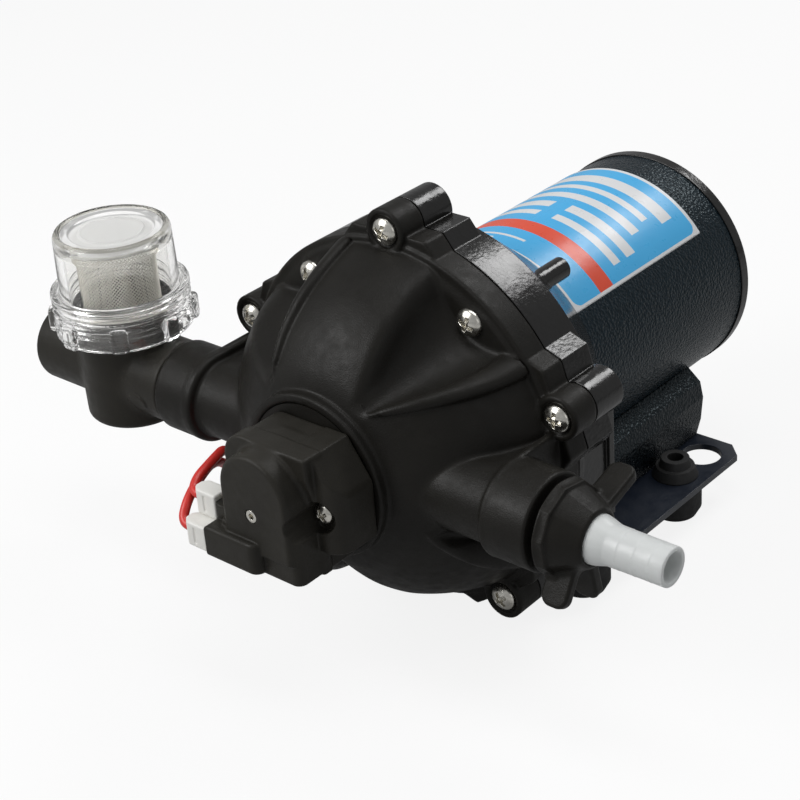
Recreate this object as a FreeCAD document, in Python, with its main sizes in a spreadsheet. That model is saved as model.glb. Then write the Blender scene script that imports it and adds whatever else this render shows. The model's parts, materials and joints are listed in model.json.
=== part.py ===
import FreeCAD, Part
import math
import os
import Sketcher

# Five chamber diaphragm water pump with motor, base, strainer, outlet barb and pressure switch.
# Millimetres. Origin at the centre of the four feet on the floor, +Z up, motor shaft along Y,
# pump head towards -Y, outlet towards +X and strainer towards -X.

V = FreeCAD.Vector

SIZES = {
    # places of the whole
    "ground_clearance": 1.5,
    "seat_y": -56.0,
    "fit_gap": 0.1,
    "running_gap": 0.03,
    # motor, distances along Y are from the ear screws' seat
    "can_radius": 38.0,
    "can_wall": 2.0,
    "can_start": 42.1,
    "can_end": 129.0,
    "cap_thickness": 5.2,
    "cap_boss_radius": 14.0,
    "cap_boss_depth": 5.0,
    "shaft_radius": 4.0,
    "shaft_start": 13.5,
    "bearing_outer": 11.0,
    "bearing_width": 7.0,
    "front_bearing_start": 35.0,
    "rear_bearing_depth": 4.5,
    "magnet_thickness": 7.5,
    "air_gap": 1.0,
    "magnet_start": 56.0,
    "magnet_inset": 23.0,
    "magnet_gap_width": 22.0,
    "core_start": 62.0,
    "core_inset": 29.0,
    "slot_width": 3.0,
    "slot_depth": 12.0,
    "winding_inset": 2.5,
    "winding_start": 53.0,
    "winding_end_inset": 20.5,
    "commutator_radius": 12.0,
    "commutator_start_inset": 20.0,
    "commutator_end_inset": 8.0,
    "brush_width": 6.0,
    "brush_height": 8.0,
    "brush_length": 11.0,
    "brush_y_inset": 14.0,
    "brush_spring_length": 7.0,
    "brush_plate_start_inset": 7.8,
    "brush_plate_end_inset": 5.4,
    "label_thickness": 0.35,
    "label_start": 47.5,
    "label_end_inset": 13.5,
    "label_edge_angle": 37.0,
    # drive housing
    "ring_radius": 58.5,
    "ring_end": 23.0,
    "cone_end": 46.0,
    "cone_wall": 2.2,
    "bulkhead_start": 32.0,
    "bulkhead_bore": 8.0,
    "housing_wall": 6.0,
    "cavity_end": 20.0,
    "cavity_back_inset": 22.5,
    "ear_stand_out": 2.8,
    "ear_radius": 6.9,
    "ear_end": 21.5,
    "saddle_end": 21.0,
    "saddle_rise": 2.1,
    "saddle_half_width": 13.5,
    "saddle_foot": 17.5,
    "saddle_root": 3.0,
    "side_pad_inset": 0.7,
    "side_pad_end": 27.0,
    "side_pad_top": 9.0,
    "side_pad_bottom": -26.0,
    "side_pad_border": 2.2,
    "side_pad_sink": 1.2,
    "stub_radius": 3.4,
    "stub_inset": 9.5,
    "stub_end": 43.0,
    "lead_boss_radius": 7.0,
    "lead_boss_y": 36.0,
    "lead_boss_reach": 53.5,
    "lead_boss_angle": 200.0,
    "grommet_neck": 4.2,
    "grommet_flange": 6.0,
    "grommet_flange_height": 1.6,
    "grommet_depth": 7.0,
    # wobble drive
    "wobble_tilt": 3.0,
    "wobble_y": 21.0,
    "hub_radius": 8.5,
    "hub_half": 5.0,
    "wobble_bearing_outer": 17.5,
    "plate_hub_radius": 22.0,
    "plate_room": 6.5,
    "plate_front": 7.0,
    "plate_back": 4.0,
    "piston_inset": 22.5,
    "pad_radius": 9.5,
    "pad_thickness": 2.0,
    "piston_screw_radius": 1.5,
    "piston_head_radius": 3.2,
    "piston_head_height": 1.6,
    # diaphragm and valves
    "diaphragm_front": 7.5,
    "diaphragm_back": 9.0,
    "plug_radius": 8.5,
    "valve_plate_front": 1.1,
    "chamber_radius": 12.0,
    "chamber_floor": 2.6,
    "port_hole_radius": 2.0,
    "inlet_valve_radius": 5.5,
    "inlet_valve_inset": 2.5,
    "valve_thickness": 0.8,
    "outlet_valve_radius": 12.0,
    "outlet_hole_circle": 8.5,
    "head_seal_wire": 1.0,
    "head_seal_inset": 14.9,
    # pump head
    "head_flange": 9.0,
    "head_rim": 3.3,
    "lip_inset": 1.5,
    "lip_front": -2.0,
    "lobe_inset_a": 4.0,
    "lobe_y_a": -9.0,
    "lobe_inset_b": 8.5,
    "lobe_y_b": -17.5,
    "lobe_inset_c": 15.0,
    "lobe_y_c": -25.5,
    "lobe_inset_d": 23.0,
    "lobe_y_d": -32.0,
    "collar_radius": 25.6,
    "collar_inner": 22.8,
    "collar_front": -38.6,
    "collar_floor": -36.0,
    "valley_inset": 7.9,
    "valley_seat": -1.0,
    "screw_room": 1.2,
    "flute_inset": 29.5,
    "flute_front": -37.0,
    "flute_angle": 38.0,
    "flute_half_angle": 20.0,
    "flute_length": 46.0,
    "outlet_chamber_radius": 13.0,
    "outlet_chamber_front": -28.0,
    "gallery_inward": 9.0,
    "gallery_outward": 4.0,
    "gallery_front": -10.0,
    "pressure_hole": 2.5,
    # ports
    "port_y": -19.6,
    "port_collar_radius": 14.57,
    "port_collar_inset": 3.0,
    "port_collar_end": 70.9,
    "neck_radius": 12.0,
    "neck_start": 24.0,
    "port_bore": 8.0,
    "hood_start": 34.0,
    "hood_half": 12.0,
    "hood_overlap": 1.5,
    "thread_radius": 10.4,
    "thread_end": 77.0,
    # outlet barb and wing nut
    "outlet_seal_thickness": 1.0,
    "barb_flange_radius": 10.2,
    "barb_flange_thickness": 1.2,
    "barb_cone_length": 4.0,
    "barb_root_radius": 7.1,
    "barb_tip_radius": 5.75,
    "barb_taper_end": 90.0,
    "barb_end": 108.5,
    "barb_bore": 4.3,
    "nut_start": 73.2,
    "nut_rim_end": 76.6,
    "nut_end": 85.2,
    "nut_rim_radius": 13.6,
    "nut_cone_radius": 12.9,
    "nut_tip_radius": 8.8,
    "wing_foot": 9.6,
    "wing_thickness": 3.6,
    "wing_start": 73.4,
    "wing_end": 82.0,
    "wing_slope": 4.0,
    "wing_one_angle": 17.0,
    "wing_one_reach": 25.5,
    "wing_two_angle": 240.0,
    "wing_two_reach": 21.5,
    "wing_three_angle": 283.0,
    "wing_three_reach": 24.0,
    # fasteners
    "screw_head_radius": 4.0,
    "screw_head_height": 2.6,
    "screw_shank_radius": 2.0,
    "ear_screw_length": 19.0,
    "valley_screw_length": 14.0,
    "recess_width": 1.1,
    "recess_depth": 1.5,
    # pressure switch
    "switch_back": -38.6,
    "switch_block_front": -57.0,
    "switch_half_width": 15.5,
    "switch_top": 18.0,
    "switch_bottom": -19.0,
    "switch_top_chamfer": 5.0,
    "arch_front": -64.0,
    "arch_radius": 11.5,
    "arch_centre": 6.5,
    "arch_bottom": -10.0,
    "switch_box_front": -62.0,
    "switch_box_half": 14.0,
    "switch_box_top": -3.0,
    "terminal_front": -66.0,
    "terminal_back": -59.6,
    "terminal_left": -18.0,
    "terminal_right": 2.0,
    "terminal_top": -9.0,
    "terminal_bottom": -18.5,
    "upper_terminal_front": -60.8,
    "upper_terminal_back": -53.6,
    "lug_x": 16.0,
    "lug_radius": 7.6,
    "lug_front": -54.0,
    "lug_recess_radius": 5.2,
    "lug_seat": -51.0,
    "switch_screw_head": 3.3,
    "switch_screw_shank": 1.5,
    "switch_screw_end": -31.5,
    "adjuster_radius": 1.9,
    "adjuster_front": -63.9,
    "adjuster_back": -57.2,
    "hex_radius": 1.0,
    "hex_depth": 2.0,
    "spring_seat_back": -55.4,
    "spring_radius": 3.6,
    "spring_inner": 2.7,
    "stem_radius": 2.3,
    "stem_front": -50.0,
    "plunger_radius": 7.0,
    "plunger_thickness": 1.6,
    "plunger_travel": 1.2,
    "switch_diaphragm_front": -36.9,
    "switch_diaphragm_radius": 10.0,
    "sensor_left": -13.0,
    "sensor_right": -5.0,
    "sensor_front": -61.0,
    "sensor_back": -50.0,
    "sensor_top": -5.0,
    "sensor_bottom": -17.0,
    "blade_end": -24.0,
    "blade_thickness": 0.8,
    "blade_width": 4.8,
    "lower_blade_y": -60.4,
    "lower_blade_z": -13.6,
    "upper_blade_y": -57.2,
    "upper_blade_z": -5.6,
    "sleeve_end": -27.5,
    "sleeve_height": 8.0,
    "sleeve_depth": 6.2,
    "lead_radius": 1.5,
    # strainer
    "strainer_x": -96.7,
    "strainer_radius": 16.2,
    "strainer_wall": 2.4,
    "strainer_bottom": -16.1,
    "strainer_top": 21.0,
    "male_thread_radius": 17.9,
    "thread_room": 1.0,
    "male_thread_bottom": 15.0,
    "spigot_radius": 11.0,
    "port_seal_x": -66.5,
    "spigot_end_x": -62.0,
    "inlet_end_x": -128.5,
    "inlet_radius": 13.2,
    "inlet_bore": 9.5,
    "inlet_bore_depth": 12.0,
    "inlet_relief_radius": 10.0,
    "inlet_relief_length": 1.0,
    "bowl_radius": 18.4,
    "bowl_rim_radius": 20.0,
    "bowl_wall": 2.4,
    "bowl_rim_height": 3.4,
    "bowl_top": 47.8,
    "bowl_chamfer": 1.6,
    "bowl_dish_radius": 12.0,
    "bowl_dish_depth": 1.2,
    "lock_ring_radius": 21.9,
    "lock_ring_bottom": 14.5,
    "lock_lip": 1.8,
    "lug_reach": 23.6,
    "lug_width": 5.6,
    "lug_height": 8.0,
    "mesh_radius": 12.4,
    "mesh_wall": 0.5,
    "mesh_top": 40.0,
    "mesh_frame_height": 2.4,
    "mesh_frame_wall": 1.0,
    "seal_wire": 1.2,
    # base, cradle and feet
    "foot_x": 43.0,
    "foot_spacing_y": 51.5,
    "plate_top": 14.0,
    "plate_thickness": 2.0,
    "plate_half_width": 53.5,
    "plate_front_y": -32.4,
    "plate_rear_y": 51.5,
    "plate_notch_half": 35.8,
    "plate_notch_y": -15.0,
    "plate_corner": 5.0,
    "rear_hole_radius": 6.5,
    "rear_hole_x": 43.5,
    "rear_hole_y": 40.7,
    "foot_bottom_radius": 8.6,
    "foot_top_radius": 7.5,
    "foot_neck_radius": 5.4,
    "foot_bore": 2.6,
    "foot_boss_radius": 5.2,
    "foot_flange": 3.6,
    "foot_height": 20.4,
    "cradle_thickness": 2.0,
    "cradle_start_y": 0.0,
    "cradle_end_y": 51.0,
    "cradle_bulge_inset": 0.5,
    "cradle_foot_inset": 4.0,
    "cradle_bulge_lift": 7.0,
    "cradle_shoulder_rise": 5.5,
    "cradle_foot_rise": 6.5,
    "cradle_top_angle": -34.2,
    "cradle_lip_angle": -45.0,
}

EAR_COUNT = 5
EAR_STEP = 360.0 / EAR_COUNT
FIRST_EAR = 90.0
FIRST_VALLEY = FIRST_EAR - EAR_STEP / 2
SLOT_COUNT = 12
LUG_COUNT = 8
FIRST_LUG = -1.0
OUTLET_HOLE_COUNT = 6
# Straight last stretch of each lead before the grommet.
LEAD_STRAIGHT = 6.0
# Points of the two leads near the switch: x, y from the seat and z from the shaft.
UPPER_LEAD_ROUTE = [
    (-30.5, -57.7, -5.6),
    (-31.8, -54.2, -3.2),
    (-32.6, -49.2, -2.2),
    (-35.0, -43.0, -2.6),
]
LOWER_LEAD_ROUTE = [
    (-30.8, -62.9, -13.6),
    (-32.2, -59.4, -9.6),
    (-33.2, -54.6, -6.6),
    (-35.2, -49.0, -5.6),
    (-37.8, -43.5, -6.2),
]
# Their points along the head and past the bolted ring: how far to the left of the ring's edge
# each one lies, with y from the seat and z from the shaft.
UPPER_LEAD_PAST_RING = [
    (-19.5, -36.5, -4.8),
    (-14.0, -28.5, -12.5),
    (-7.0, -16.0, -19.5),
    (1.5, -1.0, -21.5),
    (5.5, 14.0, -21.0),
    (5.5, 28.0, -20.0),
]
LOWER_LEAD_PAST_RING = [
    (-17.3, -36.8, -9.4),
    (-11.5, -28.0, -18.0),
    (-4.5, -14.5, -25.0),
    (2.0, 0.5, -26.5),
    (5.0, 14.5, -25.6),
    (4.5, 28.0, -24.4),
]


class Size:
    """A number together with the sheet expression that gives it."""

    def __init__(self, value, text):
        self.value = value
        self.text = text

    def __add__(self, other):
        return Size(self.value + number(other), "(%s + %s)" % (self.text, words(other)))

    def __radd__(self, other):
        return Size(number(other) + self.value, "(%s + %s)" % (words(other), self.text))

    def __sub__(self, other):
        return Size(self.value - number(other), "(%s - %s)" % (self.text, words(other)))

    def __rsub__(self, other):
        return Size(number(other) - self.value, "(%s - %s)" % (words(other), self.text))

    def __mul__(self, other):
        return Size(self.value * number(other), "(%s * %s)" % (self.text, words(other)))

    def __rmul__(self, other):
        return Size(number(other) * self.value, "(%s * %s)" % (words(other), self.text))

    def __truediv__(self, other):
        return Size(self.value / number(other), "(%s / %s)" % (self.text, words(other)))

    def __neg__(self):
        return Size(-self.value, "(0 - %s)" % self.text)


def number(size):
    return size.value if isinstance(size, Size) else float(size)


def words(size):
    return size.text if isinstance(size, Size) else "(%.6f)" % size


doc = FreeCAD.newDocument("diaphragm_pump")
sheet = doc.addObject("Spreadsheet::Sheet", "Sizes")
for row, (alias, value) in enumerate(SIZES.items(), start=1):
    sheet.set("A%d" % row, alias)
    sheet.set("B%d" % row, str(value))
    sheet.setAlias("B%d" % row, alias)
doc.recompute()


class Named:
    """The driving sizes by name, each with its sheet cell."""

    def __getattr__(self, alias):
        return Size(SIZES[alias], "Sizes." + alias)


s = Named()
NODES = []

# Sizes that follow from the driving ones: the pump hangs just above the floor, the head, housing
# and drive follow the bolted ring, and the motor's inside follows its can.
s.axis_height = s.ring_radius + s.ground_clearance
s.ear_circle = s.ring_radius + s.ear_stand_out
s.valley_circle = s.ring_radius - s.valley_inset
s.saddle_height = s.ring_radius + s.saddle_rise
s.saddle_base = s.ring_radius - s.saddle_root
s.side_pad_x = s.ring_radius - s.side_pad_inset
s.stub_circle = s.ring_radius - s.stub_inset
s.cavity_radius = s.ring_radius - s.housing_wall
s.cavity_back_radius = s.ring_radius - s.cavity_back_inset
s.plate_radius = s.cavity_radius - s.plate_room
s.piston_circle = s.ring_radius - s.piston_inset
s.inlet_valve_circle = s.piston_circle - s.inlet_valve_inset
s.gallery_inner = s.piston_circle - s.gallery_inward
s.gallery_outer = s.piston_circle + s.gallery_outward
s.head_seal_circle = s.ring_radius - s.head_seal_inset
s.head_recess = s.ring_radius - s.head_rim
s.diaphragm_radius = s.head_recess - 2 * s.fit_gap
s.lip_radius = s.ring_radius - s.lip_inset
s.lobe_radius_a = s.ring_radius - s.lobe_inset_a
s.lobe_radius_b = s.ring_radius - s.lobe_inset_b
s.lobe_radius_c = s.ring_radius - s.lobe_inset_c
s.lobe_radius_d = s.ring_radius - s.lobe_inset_d
s.flute_circle = s.ring_radius - s.flute_inset
s.port_collar_start = s.ring_radius - s.port_collar_inset
s.magnet_inner = s.can_radius - s.can_wall - s.magnet_thickness
s.core_radius = s.magnet_inner - s.air_gap
s.winding_radius = s.core_radius - s.winding_inset
s.cap_end = s.can_end + s.cap_thickness
s.cap_boss_start = s.can_end - s.cap_boss_depth
s.rear_bearing_start = s.can_end - s.rear_bearing_depth
s.magnet_end = s.can_end - s.magnet_inset
s.core_end = s.can_end - s.core_inset
s.winding_end = s.can_end - s.winding_end_inset
s.commutator_start = s.can_end - s.commutator_start_inset
s.commutator_end = s.can_end - s.commutator_end_inset
s.brush_y = s.can_end - s.brush_y_inset
s.brush_plate_start = s.can_end - s.brush_plate_start_inset
s.brush_plate_end = s.can_end - s.brush_plate_end_inset
s.label_end = s.can_end - s.label_end_inset
s.cradle_bulge_x = s.can_radius - s.cradle_bulge_inset
s.cradle_foot_x = s.can_radius - s.cradle_foot_inset
s.cradle_bulge_z = s.axis_height - s.can_radius + s.cradle_bulge_lift


def bind(thing, prop, size):
    """Give a property its size, tied to the sheet where the size comes from there."""
    if isinstance(size, Size):
        thing.setExpression(prop, size.text)
    else:
        thing.setExpression(prop, "%.6f" % size)


def put(thing, x, y, z, turn=None):
    """Place an object by its corner or centre, with an optional fixed turn."""
    if turn is not None:
        thing.Placement = FreeCAD.Placement(V(0, 0, 0), turn)
    bind(thing, "Placement.Base.x", x)
    bind(thing, "Placement.Base.y", y)
    bind(thing, "Placement.Base.z", z)
    return thing


def node(thing, label):
    """Mark an object as one finished piece under its file name."""
    thing.Label = label
    NODES.append(thing)
    return thing


TO_Y = FreeCAD.Rotation(V(1, 0, 0), -90)
TO_X = FreeCAD.Rotation(V(0, 1, 0), 90)


def rod(name, radius, length, x, y, z, turn=None):
    """A round bar that starts at a point and runs along Z, or as it is turned."""
    bar = doc.addObject("Part::Cylinder", name)
    bind(bar, "Radius", radius)
    bind(bar, "Height", length)
    return put(bar, x, y, z, turn)


def rod_y(name, radius, start, end, x=0.0, z=0.0):
    """A round bar along Y. Start and end are from the ear screws' seat, x and z from the shaft."""
    return rod(name, radius, end - start, x, s.seat_y + start, s.axis_height + z, TO_Y)


def rod_x(name, radius, start, end, y=0.0, z=0.0):
    """A round bar along X. y is from the seat and z from the shaft."""
    return rod(name, radius, end - start, start, s.seat_y + y, s.axis_height + z, TO_X)


def box(name, x, y, z, turn=None):
    """A block between pairs of row coordinates."""
    block = doc.addObject("Part::Box", name)
    bind(block, "Length", x[1] - x[0])
    bind(block, "Width", y[1] - y[0])
    bind(block, "Height", z[1] - z[0])
    return put(block, x[0], y[0], z[0], turn)


def block(name, x, y, z):
    """A block with y from the seat and z from the shaft."""
    return box(
        name,
        x,
        (s.seat_y + y[0], s.seat_y + y[1]),
        (s.axis_height + z[0], s.axis_height + z[1]),
    )


def fuse(name, *shapes):
    joined = doc.addObject("Part::MultiFuse", name)
    joined.Shapes = list(shapes)
    return joined


def cut(name, base, *tools):
    result = doc.addObject("Part::Cut", name)
    result.Base = base
    result.Tool = tools[0] if len(tools) == 1 else fuse(name + "_tools", *tools)
    return result


def group(name, *shapes):
    """Identical loose pieces in one node, each its own solid."""
    compound = doc.addObject("Part::Compound", name)
    compound.Links = list(shapes)
    return compound


def plane_of(body, role):
    return next(f for f in body.Origin.OriginFeatures if f.Role == role)


def outline(body, role, points):
    """A closed polygon in a sketch, each corner held by two bound distances."""
    sketch = body.newObject("Sketcher::SketchObject", body.Name + "_outline")
    sketch.AttachmentSupport = [(plane_of(body, role), "")]
    sketch.MapMode = "FlatFace"
    corners = [V(number(x), number(y), 0) for x, y in points]
    count = len(corners)
    for i in range(count):
        sketch.addGeometry(Part.LineSegment(corners[i], corners[(i + 1) % count]), False)
    for i in range(count):
        sketch.addConstraint(Sketcher.Constraint("Coincident", i, 2, (i + 1) % count, 1))
    for i, (x, y) in enumerate(points):
        for kind, size, axis in (("DistanceX", x, -2), ("DistanceY", y, -1)):
            if not isinstance(size, Size) and size == 0.0:
                sketch.addConstraint(Sketcher.Constraint("PointOnObject", i, 1, axis))
                continue
            index = sketch.addConstraint(Sketcher.Constraint(kind, -1, 1, i, 1, number(size)))
            if isinstance(size, Size):
                sketch.setExpression("Constraints[%d]" % index, size.text)
    return sketch


def turned(name, points, x=0.0, y=None, z=None, turn=None):
    """A turned piece: corners are (radius, distance along its axis), the axis is Y unless turned."""
    body = doc.addObject("PartDesign::Body", name)
    sketch = outline(body, "XY_Plane", points)
    lathe = body.newObject("PartDesign::Revolution", name + "_turned")
    lathe.Profile = sketch
    lathe.ReferenceAxis = (sketch, ["V_Axis"])
    lathe.Angle = 360.0
    sketch.Visibility = False
    put(body, x, s.seat_y if y is None else y, s.axis_height if z is None else z, turn)
    return body


def ring(name, inner, outer, start, end, **place):
    """A turned piece of plain rectangular section."""
    return turned(name, [(inner, start), (outer, start), (outer, end), (inner, end)], **place)


UPRIGHT = FreeCAD.Rotation(V(1, 0, 0), 90)
SIDEWAYS = FreeCAD.Rotation(V(0, 0, 1), -90)


def padded(name, role, points, length, x, y, z, turn=None, reverse=False):
    """A polygon pushed out to a length, square to its plane."""
    body = doc.addObject("PartDesign::Body", name)
    sketch = outline(body, role, points)
    pad = body.newObject("PartDesign::Pad", name + "_pad")
    pad.Profile = sketch
    bind(pad, "Length", length)
    pad.Reversed = reverse
    sketch.Visibility = False
    put(body, x, y, z, turn)
    return body


def circle_point(circle, degrees):
    """X and Z from the shaft of a point on a circle about it."""
    angle = math.radians(degrees)
    return circle * round(math.cos(angle), 9), circle * round(math.sin(angle), 9)


def around(first, count=EAR_COUNT):
    return [first + i * 360.0 / count for i in range(count)]


def screw(name, x, z, seat, length, head, head_height, shank):
    """A cross recessed pan head screw along Y: its head in front of the seat, its shank behind."""
    shoulder = head * 0.72
    rise = head_height * 0.55
    pan = turned(
        name + "_pan",
        [
            (0.0, -head_height),
            (shoulder, -head_height),
            (head, -rise),
            (head, 0.0),
            (shank, 0.0),
            (shank, length),
            (0.0, length),
        ],
        x=x,
        y=s.seat_y + seat,
        z=s.axis_height + z,
    )
    half = s.recess_width / 2
    arm = head * 0.55
    deep = (seat - head_height - 1.0, seat - head_height + s.recess_depth)
    upright = block(name + "_slot_a", (x - half, x + half), deep, (z - arm, z + arm))
    across = block(name + "_slot_b", (x - arm, x + arm), deep, (z - half, z + half))
    return cut(name, pan, upright, across)


# Motor


def make_motor():
    inner = s.can_radius - s.can_wall
    node(ring("can", inner, s.can_radius, s.can_start, s.can_end), "motor_can")
    seat = s.rear_bearing_start + s.bearing_width
    cap = turned(
        "end_cap",
        [
            (0.0, s.cap_end),
            (s.can_radius - 1.5, s.cap_end),
            (s.can_radius + 0.4, s.cap_end - 1.6),
            (s.can_radius + 0.4, s.can_end),
            (s.cap_boss_radius, s.can_end),
            (s.cap_boss_radius, s.cap_boss_start),
            (s.bearing_outer, s.cap_boss_start),
            (s.bearing_outer, seat),
            (0.0, seat),
        ],
    )
    node(cap, "motor_end_cap")
    node(rod_y("shaft", s.shaft_radius, s.shaft_start, seat - 0.4), "motor_shaft")
    bore = s.shaft_radius + s.running_gap
    for label, start in (
        ("front_bearing", s.front_bearing_start),
        ("rear_bearing", s.rear_bearing_start),
    ):
        piece = ring(label + "_ring", bore, s.bearing_outer, start, start + s.bearing_width)
        node(piece, label)

    core = ring("core", s.shaft_radius, s.core_radius, s.core_start, s.core_end)
    slots = []
    for i, degrees in enumerate(around(0.0, SLOT_COUNT)):
        slot = doc.addObject("Part::Box", "slot_%d" % i)
        bind(slot, "Length", s.slot_depth + 1.0)
        bind(slot, "Width", s.core_end - s.core_start + 2.0)
        bind(slot, "Height", s.slot_width)
        x, z = circle_point(s.core_radius - s.slot_depth, degrees)
        shift_x, shift_z = circle_point(s.slot_width / 2, degrees + 90.0)
        put(
            slot,
            x - shift_x,
            s.seat_y + s.core_start - 1.0,
            s.axis_height + z - shift_z,
            FreeCAD.Rotation(V(0, 1, 0), -degrees),
        )
        slots.append(slot)
    node(cut("armature_core", core, *slots), "armature_core")
    front = ring("winding_front", s.shaft_radius + 3.0, s.winding_radius, s.winding_start, s.core_start)
    back = ring("winding_back", s.shaft_radius + 3.0, s.winding_radius, s.core_end, s.winding_end)
    node(group("armature_windings", front, back), "armature_windings")
    bars = ring("bars", s.shaft_radius, s.commutator_radius, s.commutator_start, s.commutator_end)
    node(bars, "commutator")

    magnets = []
    for label, side in (("magnet_left", -1), ("magnet_right", 1)):
        tube = ring(label + "_tube", s.magnet_inner, inner, s.magnet_start, s.magnet_end)
        reach = s.can_radius + 2.0
        edge = s.magnet_gap_width / 2
        if side < 0:
            span = (-edge, reach)
        else:
            span = (-reach, edge)
        rest = block(
            label + "_rest",
            span,
            (s.magnet_start - 1.0, s.magnet_end + 1.0),
            (-reach, reach),
        )
        magnets.append(cut(label + "_arc", tube, rest))
    node(group("magnet_pair", *magnets), "magnets")

    half_width = s.brush_width / 2
    half_height = s.brush_height / 2
    start = s.commutator_radius + s.fit_gap
    along = (s.brush_y - half_width, s.brush_y + half_width)
    up = (-half_height, half_height)
    brush_end = start + s.brush_length
    spring_end = brush_end + s.brush_spring_length
    brushes = []
    springs = []
    for label, side in (("brush_left", -1), ("brush_right", 1)):
        if side < 0:
            brush_span = (-brush_end, -start)
            spring_start = -spring_end
        else:
            brush_span = (start, brush_end)
            spring_start = brush_end
        brushes.append(block(label + "_block", brush_span, along, up))
        coil = rod_x(
            label + "_spring", half_width, spring_start, spring_start + s.brush_spring_length, s.brush_y
        )
        springs.append(coil)
    node(group("brush_pair", *brushes), "brushes")
    node(group("brush_spring_pair", *springs), "brush_springs")

    plate = ring("holder_disc", s.cap_boss_radius, inner, s.brush_plate_start, s.brush_plate_end)
    holders = []
    for side in (-1, 1):
        near = start + 2.0
        far = spring_end + 1.6
        span = (near, far) if side > 0 else (-far, -near)
        hollow = (near - 1.0, spring_end) if side > 0 else (-spring_end, -near + 1.0)
        shell = block(
            "holder_%d" % (side + 1),
            span,
            (along[0] - 1.4, s.brush_plate_start + 0.5),
            (up[0] - 1.4, up[1] + 1.4),
        )
        gap = s.fit_gap
        hole = block(
            "holder_hole_%d" % (side + 1),
            hollow,
            (along[0] - gap, along[1] + gap),
            (up[0] - gap, up[1] + gap),
        )
        holders.append(cut("holder_box_%d" % (side + 1), shell, hole))
    node(fuse("brush_holder", plate, *holders), "brush_plate")

    skin = s.can_radius + s.label_thickness
    wrap = ring("label_tube", s.can_radius + s.fit_gap, skin, s.label_start, s.label_end)
    edge_x = s.can_radius * math.cos(math.radians(SIZES["label_edge_angle"]))
    edge_z = s.can_radius * math.sin(math.radians(SIZES["label_edge_angle"]))
    window = block(
        "label_window",
        (-edge_x, edge_x),
        (s.label_start - 1.0, s.label_end + 1.0),
        (edge_z, skin + 1.0),
    )
    strip = doc.addObject("Part::Common", "label_strip")
    strip.Base = wrap
    strip.Tool = window
    node(strip, "motor_label")


# Drive housing and wobble drive


def ear_rods(name, radius, start, end, first, circle):
    rods = []
    for i, degrees in enumerate(around(first)):
        x, z = circle_point(circle, degrees)
        rods.append(rod_y("%s_%d" % (name, i), radius, start, end, x, z))
    return rods


def ear_saddles(name, start, end):
    """The flat sided pads that join each ear to the ring."""
    saddles = []
    for i, degrees in enumerate(around(FIRST_EAR)):
        saddle = padded(
            "%s_%d" % (name, i),
            "XZ_Plane",
            [
                (s.saddle_base, -s.saddle_foot),
                (s.saddle_height, -s.saddle_half_width),
                (s.saddle_height, s.saddle_half_width),
                (s.saddle_base, s.saddle_foot),
            ],
            end - start,
            0.0,
            s.seat_y + start,
            s.axis_height,
            FreeCAD.Rotation(V(0, 1, 0), -degrees),
            reverse=True,
        )
        saddles.append(saddle)
    return saddles


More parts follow.
